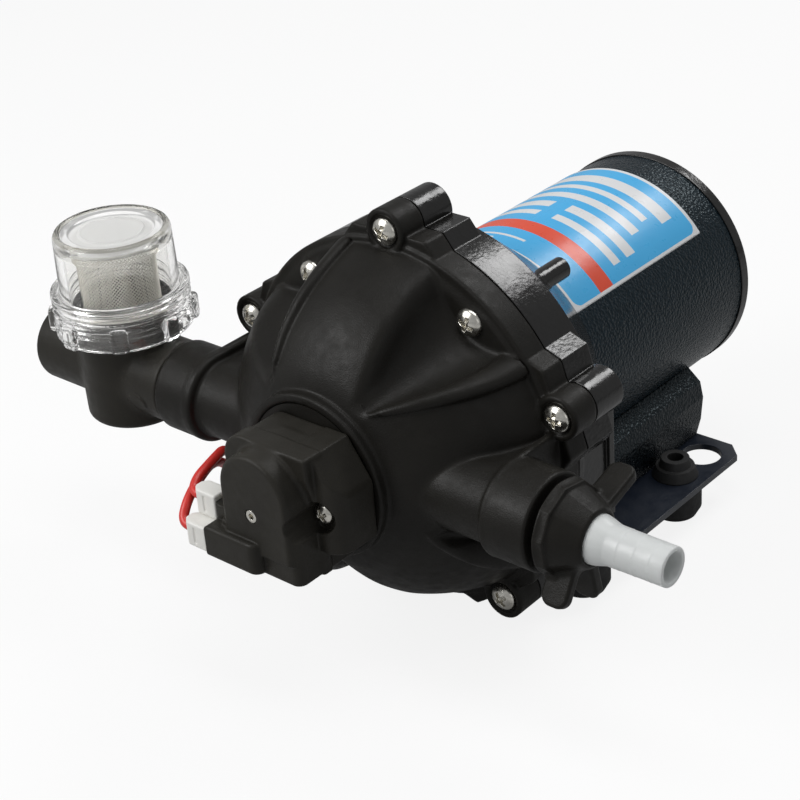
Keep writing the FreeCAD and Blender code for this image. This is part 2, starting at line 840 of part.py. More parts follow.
def make_drive_housing():
    mouth = s.can_radius + s.fit_gap
    shell = turned(
        "housing_shell",
        [
            (s.cavity_radius, s.head_flange + s.fit_gap),
            (s.ring_radius, s.head_flange + s.fit_gap),
            (s.ring_radius, s.ring_end),
            (s.can_radius + s.cone_wall, s.cone_end),
            (mouth, s.cone_end),
            (mouth, s.can_start - s.fit_gap),
            (s.bearing_outer, s.can_start - s.fit_gap),
            (s.bearing_outer, s.front_bearing_start),
            (s.bulkhead_bore, s.front_bearing_start),
            (s.bulkhead_bore, s.bulkhead_start),
            (s.cavity_back_radius, s.bulkhead_start),
            (s.cavity_radius, s.cavity_end),
        ],
    )
    ear_start = s.head_flange + s.fit_gap
    ears = ear_rods("housing_ear", s.ear_radius, ear_start, s.ear_end, FIRST_EAR, s.ear_circle)
    saddles = ear_saddles("saddle", s.head_flange + s.fit_gap, s.saddle_end)
    pads = []
    frames = []
    for side in (-1, 1):
        name = "side_pad_%d" % (side + 1)
        inner_x = s.cavity_radius * 0.97
        sunk = s.side_pad_x - s.side_pad_sink
        border = s.side_pad_border
        span = (inner_x, s.side_pad_x) if side > 0 else (-s.side_pad_x, -inner_x)
        cutter = (sunk, s.side_pad_x + 1.0) if side > 0 else (-s.side_pad_x - 1.0, -sunk)
        face_y = s.head_flange + s.fit_gap
        pads.append(block(name, span, (face_y, s.side_pad_end), (s.side_pad_bottom, s.side_pad_top)))
        frames.append(
            block(
                name + "_sink",
                cutter,
                (face_y + border, s.side_pad_end - border),
                (s.side_pad_bottom + border, s.side_pad_top - border),
            )
        )
    stub_x, stub_z = circle_point(s.stub_circle, FIRST_VALLEY)
    stub = rod_y("housing_stub", s.stub_radius, s.ring_end - 1.0, s.stub_end, stub_x, stub_z)
    pilots = ear_rods(
        "housing_pilot",
        s.screw_shank_radius,
        s.head_flange,
        s.ear_screw_length,
        FIRST_EAR,
        s.ear_circle,
    )
    valley_pilots = ear_rods(
        "housing_valley_pilot",
        s.screw_shank_radius,
        s.head_flange,
        s.valley_screw_length + s.valley_seat,
        FIRST_VALLEY,
        s.valley_circle,
    )
    bosses = ear_rods(
        "housing_valley_boss",
        s.screw_shank_radius + 2.2,
        s.head_flange + s.fit_gap,
        s.valley_screw_length + s.valley_seat + 1.5,
        FIRST_VALLEY,
        s.valley_circle,
    )
    clear = ring(
        "housing_clear",
        s.bulkhead_bore,
        s.plate_radius + 1.2,
        s.head_flange,
        s.cavity_end,
    )
    boss = lead_boss_rod("lead_boss", s.lead_boss_radius, s.can_radius + s.cone_wall, s.lead_boss_reach)
    hole = lead_boss_rod("lead_hole", s.grommet_neck + s.fit_gap, s.can_radius, s.lead_boss_reach + 1.0)
    hollow = turned(
        "housing_hollow",
        [
            (0.0, s.cavity_end),
            (s.cavity_radius, s.cavity_end),
            (s.cavity_back_radius, s.bulkhead_start),
            (0.0, s.bulkhead_start),
        ],
    )
    solid = fuse("housing_solid", shell, stub, boss, *(ears + saddles + pads + bosses))
    tools = frames + pilots + valley_pilots + [hole, hollow]
    node(cut("housing", solid, clear, *tools), "drive_housing")

    flange_start = s.lead_boss_reach
    flange_end = flange_start + s.grommet_flange_height
    neck = lead_boss_rod("grommet_neck", s.grommet_neck, flange_start - s.grommet_depth, flange_end)
    flange = lead_boss_rod("grommet_flange", s.grommet_flange, flange_start, flange_end)
    node(fuse("grommet", neck, flange), "lead_grommet")


def lead_boss_rod(name, radius, start, end):
    """A round bar on the lead boss's axis, which points from the shaft out through the cone."""
    x, z = circle_point(start, SIZES["lead_boss_angle"])
    outward = FreeCAD.Rotation(V(0, 1, 0), 90.0 - SIZES["lead_boss_angle"])
    return rod(name, radius, end - start, x, s.seat_y + s.lead_boss_y, s.axis_height + z, outward)


def tilted(name, shape_points, y=None):
    """A turned piece on the wobble axis, which leans from the shaft towards the top ear."""
    lean = FreeCAD.Rotation(V(1, 0, 0), SIZES["wobble_tilt"])
    return turned(name, shape_points, y=s.seat_y + s.wobble_y if y is None else y, turn=lean)


def make_wobble_drive():
    hub_outline = [
        (0.0, -s.hub_half),
        (s.hub_radius, -s.hub_half),
        (s.hub_radius, s.hub_half),
        (0.0, s.hub_half),
    ]
    hub = tilted("hub_round", hub_outline)
    bore = rod_y("hub_bore", s.shaft_radius, s.shaft_start - 4.0, s.front_bearing_start)
    node(cut("eccentric_hub_solid", hub, bore), "eccentric_hub")
    bearing = [
        (s.hub_radius, -s.hub_half),
        (s.wobble_bearing_outer, -s.hub_half),
        (s.wobble_bearing_outer, s.hub_half),
        (s.hub_radius, s.hub_half),
    ]
    node(tilted("wobble_ring", bearing), "wobble_bearing")
    inner = s.wobble_bearing_outer + s.running_gap
    disc = tilted(
        "wobble_disc",
        [
            (inner, -s.plate_front),
            (s.plate_radius, -s.plate_front),
            (s.plate_radius, -s.plate_back),
            (s.plate_hub_radius, -s.plate_back),
            (s.plate_hub_radius, s.hub_half),
            (inner, s.hub_half),
        ],
    )
    node(disc, "wobble_plate")


# Pump head and valves


def make_pump_head():
    dome = turned(
        "dome",
        [
            (s.head_recess, s.head_flange),
            (s.ring_radius, s.head_flange),
            (s.ring_radius, 0.0),
            (s.lip_radius, s.lip_front),
            (s.lobe_radius_a, s.lobe_y_a),
            (s.lobe_radius_b, s.lobe_y_b),
            (s.lobe_radius_c, s.lobe_y_c),
            (s.lobe_radius_d, s.lobe_y_d),
            (s.collar_radius + 1.0, s.collar_floor),
            (s.collar_radius, s.collar_front),
            (s.collar_inner, s.collar_front),
            (s.collar_inner, s.collar_floor),
            (s.pressure_hole, s.collar_floor),
            (s.pressure_hole, s.outlet_chamber_front),
            (s.outlet_chamber_radius, s.outlet_chamber_front),
            (s.outlet_chamber_radius, s.valve_plate_front),
            (s.gallery_inner, s.valve_plate_front),
            (s.gallery_inner, s.gallery_front),
            (s.gallery_outer, s.gallery_front),
            (s.gallery_outer, s.valve_plate_front),
            (s.head_recess, s.valve_plate_front),
        ],
    )
    ears = ear_rods("head_ear", s.ear_radius, 0.0, s.head_flange, FIRST_EAR, s.ear_circle)
    ears += ear_saddles("head_pad", 0.0, s.head_flange)
    collars = []
    bores = []
    for side, label in ((1, "outlet"), (-1, "inlet")):
        start, end = s.port_collar_start, s.port_collar_end
        neck = (s.neck_start, start + 0.5) if side > 0 else (-start - 0.5, -s.neck_start)
        collar = (start, end) if side > 0 else (-end, -start)
        collars.append(rod_x(label + "_neck", s.neck_radius, neck[0], neck[1], s.port_y))
        collars.append(rod_x(label + "_collar", s.port_collar_radius, collar[0], collar[1], s.port_y))
        hood_end = start + s.hood_overlap
        hood_x = (s.hood_start, hood_end) if side > 0 else (-hood_end, -s.hood_start)
        hood_z = (-s.hood_half, s.hood_half)
        collars.append(block(label + "_hood", hood_x, (s.port_y, s.head_flange - 1.0), hood_z))
    thread = rod_x("outlet_thread", s.thread_radius, s.port_collar_end, s.thread_end, s.port_y)
    collars.append(thread)
    bore_start = s.outlet_chamber_radius * 0.6
    bores.append(rod_x("outlet_bore", s.port_bore, bore_start, s.thread_end + 1.0, s.port_y))
    bores.append(rod_x("inlet_bore", s.port_bore, -s.port_collar_end - 1.0, -s.gallery_inner - 1.0, s.port_y))
    socket = s.spigot_radius + s.fit_gap
    bores.append(rod_x("inlet_socket", socket, -s.port_collar_end - 1.0, s.spigot_end_x, s.port_y))
    seal = doc.addObject("Part::Torus", "head_o_ring")
    bind(seal, "Radius1", s.head_seal_circle)
    bind(seal, "Radius2", s.head_seal_wire)
    seal_y = s.seat_y + s.valve_plate_front + s.fit_gap - s.head_seal_wire
    node(put(seal, 0.0, seal_y, s.axis_height, TO_Y), "head_seal")
    drop_x = (s.gallery_inner + s.gallery_outer) / 2
    bores.append(rod_y("inlet_drop", s.port_hole_radius * 2.2, s.port_y, s.gallery_front + 1.0, -drop_x))

    lean = math.radians(SIZES["flute_angle"])
    spread = math.tan(math.radians(SIZES["flute_half_angle"]))
    flutes = []
    for i, degrees in enumerate(around(FIRST_VALLEY)):
        angle = math.radians(degrees)
        out = math.cos(lean)
        direction = V(out * math.cos(angle), math.sin(lean), out * math.sin(angle))
        cone = doc.addObject("Part::Cone", "flute_%d" % i)
        bind(cone, "Radius1", 0.0)
        bind(cone, "Radius2", s.flute_length * spread)
        bind(cone, "Height", s.flute_length)
        x, z = circle_point(s.flute_circle, degrees)
        turn = FreeCAD.Rotation(V(0, 0, 1), direction)
        put(cone, x, s.seat_y + s.flute_front, s.axis_height + z, turn)
        flutes.append(cone)
    ahead = rod_y("flute_limit", s.ring_radius * 2, s.collar_front * 2, s.valley_seat)
    flute_tools = doc.addObject("Part::Common", "flute_tools")
    flute_tools.Base = fuse("flute_set", *flutes)
    flute_tools.Tool = ahead
    seats = ear_rods(
        "valley_seat",
        s.screw_head_radius + s.screw_room,
        s.collar_front,
        s.valley_seat,
        FIRST_VALLEY,
        s.valley_circle,
    )
    seats += ear_rods(
        "ear_seat",
        s.screw_head_radius + s.screw_room,
        s.lobe_y_a,
        0.0,
        FIRST_EAR,
        s.ear_circle,
    )
    seats.append(rod_y("head_back", s.head_recess, s.valve_plate_front, s.head_flange + 1.0))
    seats.append(ring("gallery", s.gallery_inner, s.gallery_outer, s.gallery_front, s.valve_plate_front))
    groove = s.head_seal_wire + s.fit_gap
    seats.append(
        ring(
            "head_groove",
            s.head_seal_circle - groove,
            s.head_seal_circle + groove,
            s.valve_plate_front - 2 * s.head_seal_wire,
            s.valve_plate_front,
        )
    )
    holes = ear_rods(
        "head_hole", s.screw_shank_radius + s.fit_gap, -1.0, s.head_flange + 1.0, FIRST_EAR, s.ear_circle
    )
    valley_holes = ear_rods(
        "valley_hole",
        s.screw_shank_radius + s.fit_gap,
        s.valley_seat - 1.0,
        s.head_flange + 1.0,
        FIRST_VALLEY,
        s.valley_circle,
    )
    switch_pilots = [
        rod_y(
            "switch_pilot_%d" % i,
            s.switch_screw_shank,
            s.collar_floor - 1.0,
            s.switch_screw_end,
            x,
        )
        for i, x in enumerate((-s.lug_x, s.lug_x))
    ]
    fluted = cut("fluted_dome", dome, flute_tools)
    solid = fuse("head_solid", fluted, *(ears + collars))
    node(cut("head", solid, *(bores + seats + holes + valley_holes + switch_pilots)), "pump_head")


def make_valves():
    gap = s.fit_gap
    disc = rod_y("valve_disc", s.head_recess - gap, s.valve_plate_front + gap, s.diaphragm_front)
    chambers = ear_rods(
        "chamber", s.chamber_radius, s.chamber_floor, s.diaphragm_front + 1.0, FIRST_EAR, s.piston_circle
    )
    inlet_holes = ear_rods(
        "inlet_hole", s.port_hole_radius, 0.0, s.chamber_floor + 1.0, FIRST_EAR, s.inlet_valve_circle
    )
    outlet_holes = []
    for i, degrees in enumerate(around(FIRST_EAR, OUTLET_HOLE_COUNT)):
        x, z = circle_point(s.outlet_hole_circle, degrees)
        hole_end = s.diaphragm_front + 1.0
        outlet_holes.append(rod_y("outlet_hole_%d" % i, s.port_hole_radius, 0.0, hole_end, x, z))
    valley = ear_rods(
        "plate_clear",
        s.screw_shank_radius + gap,
        0.0,
        s.diaphragm_front + 1.0,
        FIRST_VALLEY,
        s.valley_circle,
    )
    middle = rod_y("valve_stem_hole", s.port_hole_radius, 0.0, s.diaphragm_front + 1.0)
    tools = chambers + inlet_holes + outlet_holes + valley + [middle]
    node(cut("valve_body", disc, *tools), "valve_plate")
    flaps = ear_rods(
        "inlet_flap",
        s.inlet_valve_radius,
        s.chamber_floor,
        s.chamber_floor + s.valve_thickness,
        FIRST_EAR,
        s.inlet_valve_circle,
    )
    node(group("inlet_flaps", *flaps), "inlet_valves")
    flap = turned(
        "outlet_flap",
        [
            (0.0, s.valve_plate_front + gap - s.valve_thickness - 1.0),
            (s.outlet_valve_radius, s.valve_plate_front + gap - s.valve_thickness),
            (s.outlet_valve_radius, s.valve_plate_front + gap),
            (s.port_hole_radius - gap, s.valve_plate_front + gap),
            (s.port_hole_radius - gap, s.diaphragm_front - 1.0),
            (0.0, s.diaphragm_front - 1.0),
        ],
    )
    node(flap, "outlet_valve")


def make_diaphragm():
    web = rod_y("diaphragm_web", s.diaphragm_radius, s.diaphragm_front, s.diaphragm_back)
    plugs = ear_rods(
        "plug", s.plug_radius, s.diaphragm_front + 0.2, s.wobble_y, FIRST_EAR, s.piston_circle
    )
    pad_front = s.plate_front + s.pad_thickness
    behind = tilted(
        "behind_pads",
        [
            (0.0, -pad_front - s.running_gap),
            (s.ring_radius, -pad_front - s.running_gap),
            (s.ring_radius, s.wobble_y),
            (0.0, s.wobble_y),
        ],
    )
    cut_plugs = cut("plugs_cut", fuse("plugs_all", *plugs), behind)
    valley = ear_rods(
        "diaphragm_clear",
        s.screw_shank_radius + s.fit_gap,
        s.diaphragm_front - 1.0,
        s.diaphragm_back + 1.0,
        FIRST_VALLEY,
        s.valley_circle,
    )
    solid = fuse("diaphragm_solid", web, cut_plugs)
    node(cut("diaphragm_sheet", solid, *valley), "diaphragm")


def on_tilt(x, z, along):
    """A row point from coordinates on the wobble axis: across it, up it and along it."""
    tilt = math.radians(SIZES["wobble_tilt"])
    y = along * math.cos(tilt) - z * math.sin(tilt)
    up = along * math.sin(tilt) + z * math.cos(tilt)
    return x, s.seat_y + s.wobble_y + y, s.axis_height + up


def make_pistons():
    lean = FreeCAD.Rotation(V(1, 0, 0), SIZES["wobble_tilt"])
    along_axis = lean.multiply(TO_Y)
    pads = []
    screws = []
    front = -s.plate_front - s.pad_thickness
    tip = front + s.pad_thickness / 4
    head_end = s.piston_head_height - s.plate_back
    for i, degrees in enumerate(around(FIRST_EAR)):
        x, z = circle_point(s.piston_circle, degrees)

        def bar(name, radius, start, end):
            return rod("%s_%d" % (name, i), radius, end - start, *on_tilt(x, z, start), turn=along_axis)

        disc = bar("pad_disc", s.pad_radius, front, -s.plate_front)
        hole = bar("pad_hole", s.piston_screw_radius, tip, -s.plate_front)
        pads.append(cut("pad_%d" % i, disc, hole))
        head = bar("piston_head", s.piston_head_radius, -s.plate_back, head_end)
        shank = bar("piston_shank", s.piston_screw_radius, tip, head_end)
        screws.append(fuse("piston_screw_%d" % i, head, shank))
    node(group("pad_set", *pads), "piston_pads")
    node(group("piston_screw_set", *screws), "piston_screws")
    plate = NODES[[n.Label for n in NODES].index("wobble_plate")]
    NODES.remove(plate)
    plate.Label = "wobble_plate_blank"
    holes = []
    for i, degrees in enumerate(around(FIRST_EAR)):
        x, z = circle_point(s.piston_circle, degrees)
        holes.append(
            rod(
                "plate_hole_%d" % i,
                s.piston_screw_radius,
                s.plate_front,
                *on_tilt(x, z, -s.plate_front - 1.0),
                turn=along_axis
            )
        )
    node(cut("wobble_plate_drilled", plate, *holes), "wobble_plate")


# Pressure switch


def make_switch():
    gap = s.fit_gap
    back = s.switch_back
    wide = s.switch_half_width
    trim = s.switch_top_chamfer
    main = padded(
        "switch_main",
        "XZ_Plane",
        [
            (-wide, s.switch_bottom),
            (wide, s.switch_bottom),
            (wide, s.switch_top - trim),
            (wide - trim, s.switch_top),
            (-wide + trim, s.switch_top),
            (-wide, s.switch_top - trim),
        ],
        back - s.switch_block_front,
        0.0,
        s.seat_y + back,
        s.axis_height,
    )
    lugs = [
        rod_y("switch_lug_%d" % i, s.lug_radius, s.lug_front, back, x)
        for i, x in enumerate((-s.lug_x, s.lug_x))
    ]
    arch = rod_y("switch_arch", s.arch_radius, s.arch_front, s.switch_block_front + 1.0, 0.0, s.arch_centre)
    half = s.arch_radius
    cheeks = block(
        "switch_cheeks",
        (-half, half),
        (s.arch_front, s.switch_block_front + 1.0),
        (s.arch_bottom, s.arch_centre),
    )
    low = block(
        "switch_low",
        (-s.switch_box_half, s.switch_box_half),
        (s.switch_box_front, back),
        (s.switch_bottom, s.switch_box_top),
    )
    cover = block(
        "terminal_cover",
        (s.terminal_left, s.terminal_right),
        (s.terminal_front, s.terminal_back),
        (s.terminal_bottom, s.terminal_top),
    )
    upper = block(
        "upper_terminal_cover",
        (s.terminal_left, -s.switch_box_half + 1.0),
        (s.upper_terminal_front, s.upper_terminal_back),
        (s.upper_blade_z - s.sleeve_height / 2, s.upper_blade_z + s.sleeve_height / 2),
    )
    pockets = [
        rod_y("switch_recess_%d" % i, s.lug_recess_radius, s.terminal_front, s.lug_seat, x)
        for i, x in enumerate((-s.lug_x, s.lug_x))
    ]
    pockets += [
        rod_y("switch_clear_%d" % i, s.switch_screw_shank + gap, s.lug_seat - 1.0, back + 1.0, x)
        for i, x in enumerate((-s.lug_x, s.lug_x))
    ]
    pockets.append(rod_y("adjuster_hole", s.adjuster_radius + gap, s.arch_front - 1.0, s.adjuster_back))
    guide = s.spring_radius + 2 * gap
    pockets.append(rod_y("spring_hole", guide, s.adjuster_back, back + 1.0))
    room = s.plunger_thickness + s.plunger_travel + 4 * gap
    pockets.append(rod_y("plunger_room", s.plunger_radius + 2 * gap, back - room, back + 1.0))
    pockets.append(
        block(
            "sensor_room",
            (s.sensor_left - gap, s.sensor_right + gap),
            (s.sensor_front - gap, s.sensor_back + gap),
            (s.sensor_bottom - gap, s.sensor_top + gap),
        )
    )
    blades = []
    sleeves = []
    for label, y, z in (
        ("lower", s.lower_blade_y, s.lower_blade_z),
        ("upper", s.upper_blade_y, s.upper_blade_z),
    ):
        half_thick = s.blade_thickness / 2
        half_wide = s.blade_width / 2
        span_y = (y - half_thick, y + half_thick)
        span_z = (z - half_wide, z + half_wide)
        blades.append(block(label + "_blade", (s.blade_end, s.sensor_left), span_y, span_z))
        pockets.append(
            block(
                label + "_slot",
                (s.terminal_left - 1.0, s.sensor_left),
                (span_y[0] - gap, span_y[1] + gap),
                (span_z[0] - gap, span_z[1] + gap),
            )
        )
        half_high = s.sleeve_height / 2
        front = s.terminal_front if label == "lower" else s.upper_terminal_front
        sleeve = block(
            label + "_sleeve",
            (s.sleeve_end, s.terminal_left),
            (front, front + s.sleeve_depth),
            (z - half_high, z + half_high),
        )
        mouth = block(
            label + "_mouth",
            (s.blade_end, s.terminal_left + 1.0),
            (span_y[0], span_y[1]),
            (span_z[0], span_z[1]),
        )
        sleeves.append((label, cut(label + "_connector_body", sleeve, mouth)))
    solid = fuse("switch_solid", main, arch, cheeks, low, cover, upper, *lugs)
    node(cut("switch_cap_solid", solid, *pockets), "switch_cap")
    for label, sleeve in sleeves:
        node(sleeve, label + "_connector")
    node(group("switch_blades", *blades), "switch_terminals")

    sensor = block(
        "sensor_block",
        (s.sensor_left, s.sensor_right),
        (s.sensor_front, s.sensor_back),
        (s.sensor_bottom, s.sensor_top),
    )
    node(sensor, "microswitch")
    screws = [
        screw(
            "switch_screw_%d" % i,
            x,
            0.0,
            s.lug_seat,
            s.switch_screw_end - s.lug_seat,
            s.switch_screw_head,
            s.screw_head_height * 0.75,
            s.switch_screw_shank,
        )
        for i, x in enumerate((-s.lug_x, s.lug_x))
    ]
    node(group("switch_screw_pair", *screws), "switch_screws")

    grub = rod_y("grub", s.adjuster_radius, s.adjuster_front, s.adjuster_back)
    hexagon = doc.addObject("Part::Prism", "hex_socket")
    hexagon.Polygon = 6
    bind(hexagon, "Circumradius", s.hex_radius)
    bind(hexagon, "Height", s.hex_depth + 1.0)
    put(hexagon, 0.0, s.seat_y + s.adjuster_front - 1.0, s.axis_height, TO_Y)
    node(cut("grub_screw", grub, hexagon), "pressure_adjuster")
    cup = rod_y("spring_cup", s.spring_radius, s.adjuster_back, s.spring_seat_back)
    node(cup, "spring_seat")
    spring_back = back - s.plunger_thickness - gap
    coil = ring("spring_sleeve", s.spring_inner, s.spring_radius, s.spring_seat_back, spring_back)
    node(coil, "pressure_spring")
    plunger = turned(
        "plunger_body",
        [
            (0.0, s.stem_front),
            (s.stem_radius, s.stem_front),
            (s.stem_radius, spring_back),
            (s.plunger_radius, spring_back),
            (s.plunger_radius, back - gap),
            (0.0, back - gap),
        ],
    )
    node(plunger, "switch_plunger")
    pad = rod_y("switch_rubber", s.switch_diaphragm_radius, back, s.switch_diaphragm_front)
    node(pad, "switch_diaphragm")
    base = ring(
        "switch_ring",
        s.switch_diaphragm_radius + gap,
        s.collar_inner - gap,
        back + gap,
        s.collar_floor,
    )
    floor = ring(
        "switch_floor",
        s.pressure_hole,
        s.switch_diaphragm_radius + 1.0,
        s.switch_diaphragm_front,
        s.collar_floor,
    )
    clears = [
        rod_y("base_clear_%d" % i, s.switch_screw_shank + gap, back - 1.0, s.collar_floor + 1.0, x)
        for i, x in enumerate((-s.lug_x, s.lug_x))
    ]
    node(cut("switch_base_solid", fuse("switch_base_blank", base, floor), *clears), "switch_base")


# Red leads of the pressure switch


def tube_on_route(name, points, radius):
    """A lead of straight runs joined by tangent arcs, each as large as its two runs allow."""
    edges = []
    at = points[0]
    length = 0.0
    tightest = None
    for before, here, after in zip(points, points[1:], points[2:]):
        back = before - here
        ahead = after - here
        shorter = min(back.Length, ahead.Length)
        turn = math.pi - back.getAngle(ahead)
        reach = 0.45 * shorter
        bend = reach / math.tan(turn / 2)
        start = here + V(back).normalize() * reach
        end = here + V(ahead).normalize() * reach
        middle_line = (V(back).normalize() + V(ahead).normalize()).normalize()
        centre = here + middle_line * math.hypot(bend, reach)
        middle = centre - middle_line * bend
        edges.append(Part.LineSegment(at, start).toShape())
        edges.append(Part.Arc(start, middle, end).toShape())
        length += (start - at).Length + bend * turn
        tightest = bend if tightest is None else min(tightest, bend)
        at = end
    edges.append(Part.LineSegment(at, points[-1]).toShape())
    length += (points[-1] - at).Length
    path = Part.Wire(edges)
    section = Part.Wire(Part.makeCircle(radius, points[0], points[1] - points[0]))
    tube = path.makePipeShell([section], True, True)
    drift = tube.Volume / (math.pi * radius * radius * length) - 1.0
    print("%s length %.1f tightest bend %.1f volume drift %.4f" % (name, length, tightest, drift))
    return tube


def make_red_leads():
    """Each lead runs from its connector round the left of the head to the grommet in the housing."""
    angle = math.radians(SIZES["lead_boss_angle"])
    out = V(math.cos(angle), 0, math.sin(angle))
    side = V(-out.z, 0, out.x)
    boss = V(0, s.seat_y.value + s.lead_boss_y.value, s.axis_height.value)
    shift = s.lead_radius.value + s.running_gap.value * 5
    grommet_face = (s.lead_boss_reach + s.grommet_flange_height).value
    routes = {"upper": UPPER_LEAD_ROUTE, "lower": LOWER_LEAD_ROUTE}
    past_ring = {"upper": UPPER_LEAD_PAST_RING, "lower": LOWER_LEAD_PAST_RING}
    for label, front, blade_z, offset in (
        ("upper", s.upper_terminal_front, s.upper_blade_z, -shift),
        ("lower", s.terminal_front, s.lower_blade_z, shift),
    ):
        start = V(
            s.sleeve_end.value,
            s.seat_y.value + (front + s.sleeve_depth / 2).value,
            s.axis_height.value + blade_z.value,
        )
        points = [start]
        ring_side = [(-s.ring_radius.value - out, y, z) for out, y, z in past_ring[label]]
        route = routes[label] + ring_side
        points += [V(x, y + s.seat_y.value, z + s.axis_height.value) for x, y, z in route]
        entry = boss + side * offset
        points += [entry + out * (grommet_face + LEAD_STRAIGHT), entry + out * grommet_face]
        lead = doc.addObject("Part::Feature", label + "_lead")
        lead.Shape = tube_on_route(label + "_lead", points, s.lead_radius.value)
        node(lead, "red_lead_" + label)


# Outlet fitting


def make_outlet():
    gap = s.fit_gap
    seal_end = s.thread_end + s.outlet_seal_thickness
    flange_end = seal_end + s.barb_flange_thickness
    cone_end = flange_end + s.barb_cone_length
    place = {"x": 0.0, "y": s.seat_y + s.port_y, "turn": SIDEWAYS}
    washer = ring("washer", s.port_bore, s.thread_radius - gap, s.thread_end, seal_end, **place)
    node(washer, "outlet_seal")
    barb = turned(
        "barb_body",
        [
            (s.barb_bore, seal_end),
            (s.barb_flange_radius, seal_end),
            (s.barb_flange_radius, flange_end),
            (s.barb_root_radius, cone_end),
            (s.barb_root_radius, s.nut_end),
            (s.barb_tip_radius, s.barb_taper_end),
            (s.barb_tip_radius, s.barb_end),
            (s.barb_bore, s.barb_end),
        ],
        **place
    )
    node(barb, "outlet_barb")
    nut = turned(
        "nut_body",
        [
            (s.thread_radius + gap, s.nut_start),
            (s.nut_rim_radius, s.nut_start),
            (s.nut_rim_radius, s.nut_rim_end),
            (s.nut_cone_radius, s.nut_rim_end),
            (s.nut_tip_radius, s.nut_end),
            (s.barb_root_radius + gap, s.nut_end),
            (s.barb_root_radius + gap, cone_end + gap),
            (s.thread_radius + gap, flange_end + gap),
        ],
        **place
    )
    wings = []
    for label, size, reach in (
        ("one", s.wing_one_angle, s.wing_one_reach),
        ("two", s.wing_two_angle, s.wing_two_reach),
        ("three", s.wing_three_angle, s.wing_three_reach),
    ):
        angle = math.radians(size.value)
        half = s.wing_thickness / 2
        points = [
            (s.wing_start, s.nut_cone_radius - 1.0),
            (s.nut_rim_end + 1.0, s.wing_foot + 1.6),
            (s.wing_end, s.wing_foot),
            (s.wing_end, reach - s.wing_slope),
            (s.wing_end - s.wing_slope, reach),
            (s.wing_start, reach),
        ]
        wing = padded(
            "wing_" + label,
            "XY_Plane",
            points,
            s.wing_thickness,
            0.0,
            s.seat_y + s.port_y + half * math.sin(angle),
            s.axis_height - half * math.cos(angle),
            FreeCAD.Rotation(V(1, 0, 0), size.value),
        )
        wings.append(wing)
    node(fuse("wing_nut_solid", nut, *wings), "wing_nut")


# Strainer


def about_strainer(name, points):
    """A turned piece about the strainer's upright axis, heights from the shaft."""
    return turned(
        name,
        points,
        x=s.strainer_x,
        y=s.seat_y + s.port_y,
        z=s.axis_height,
        turn=UPRIGHT,
    )


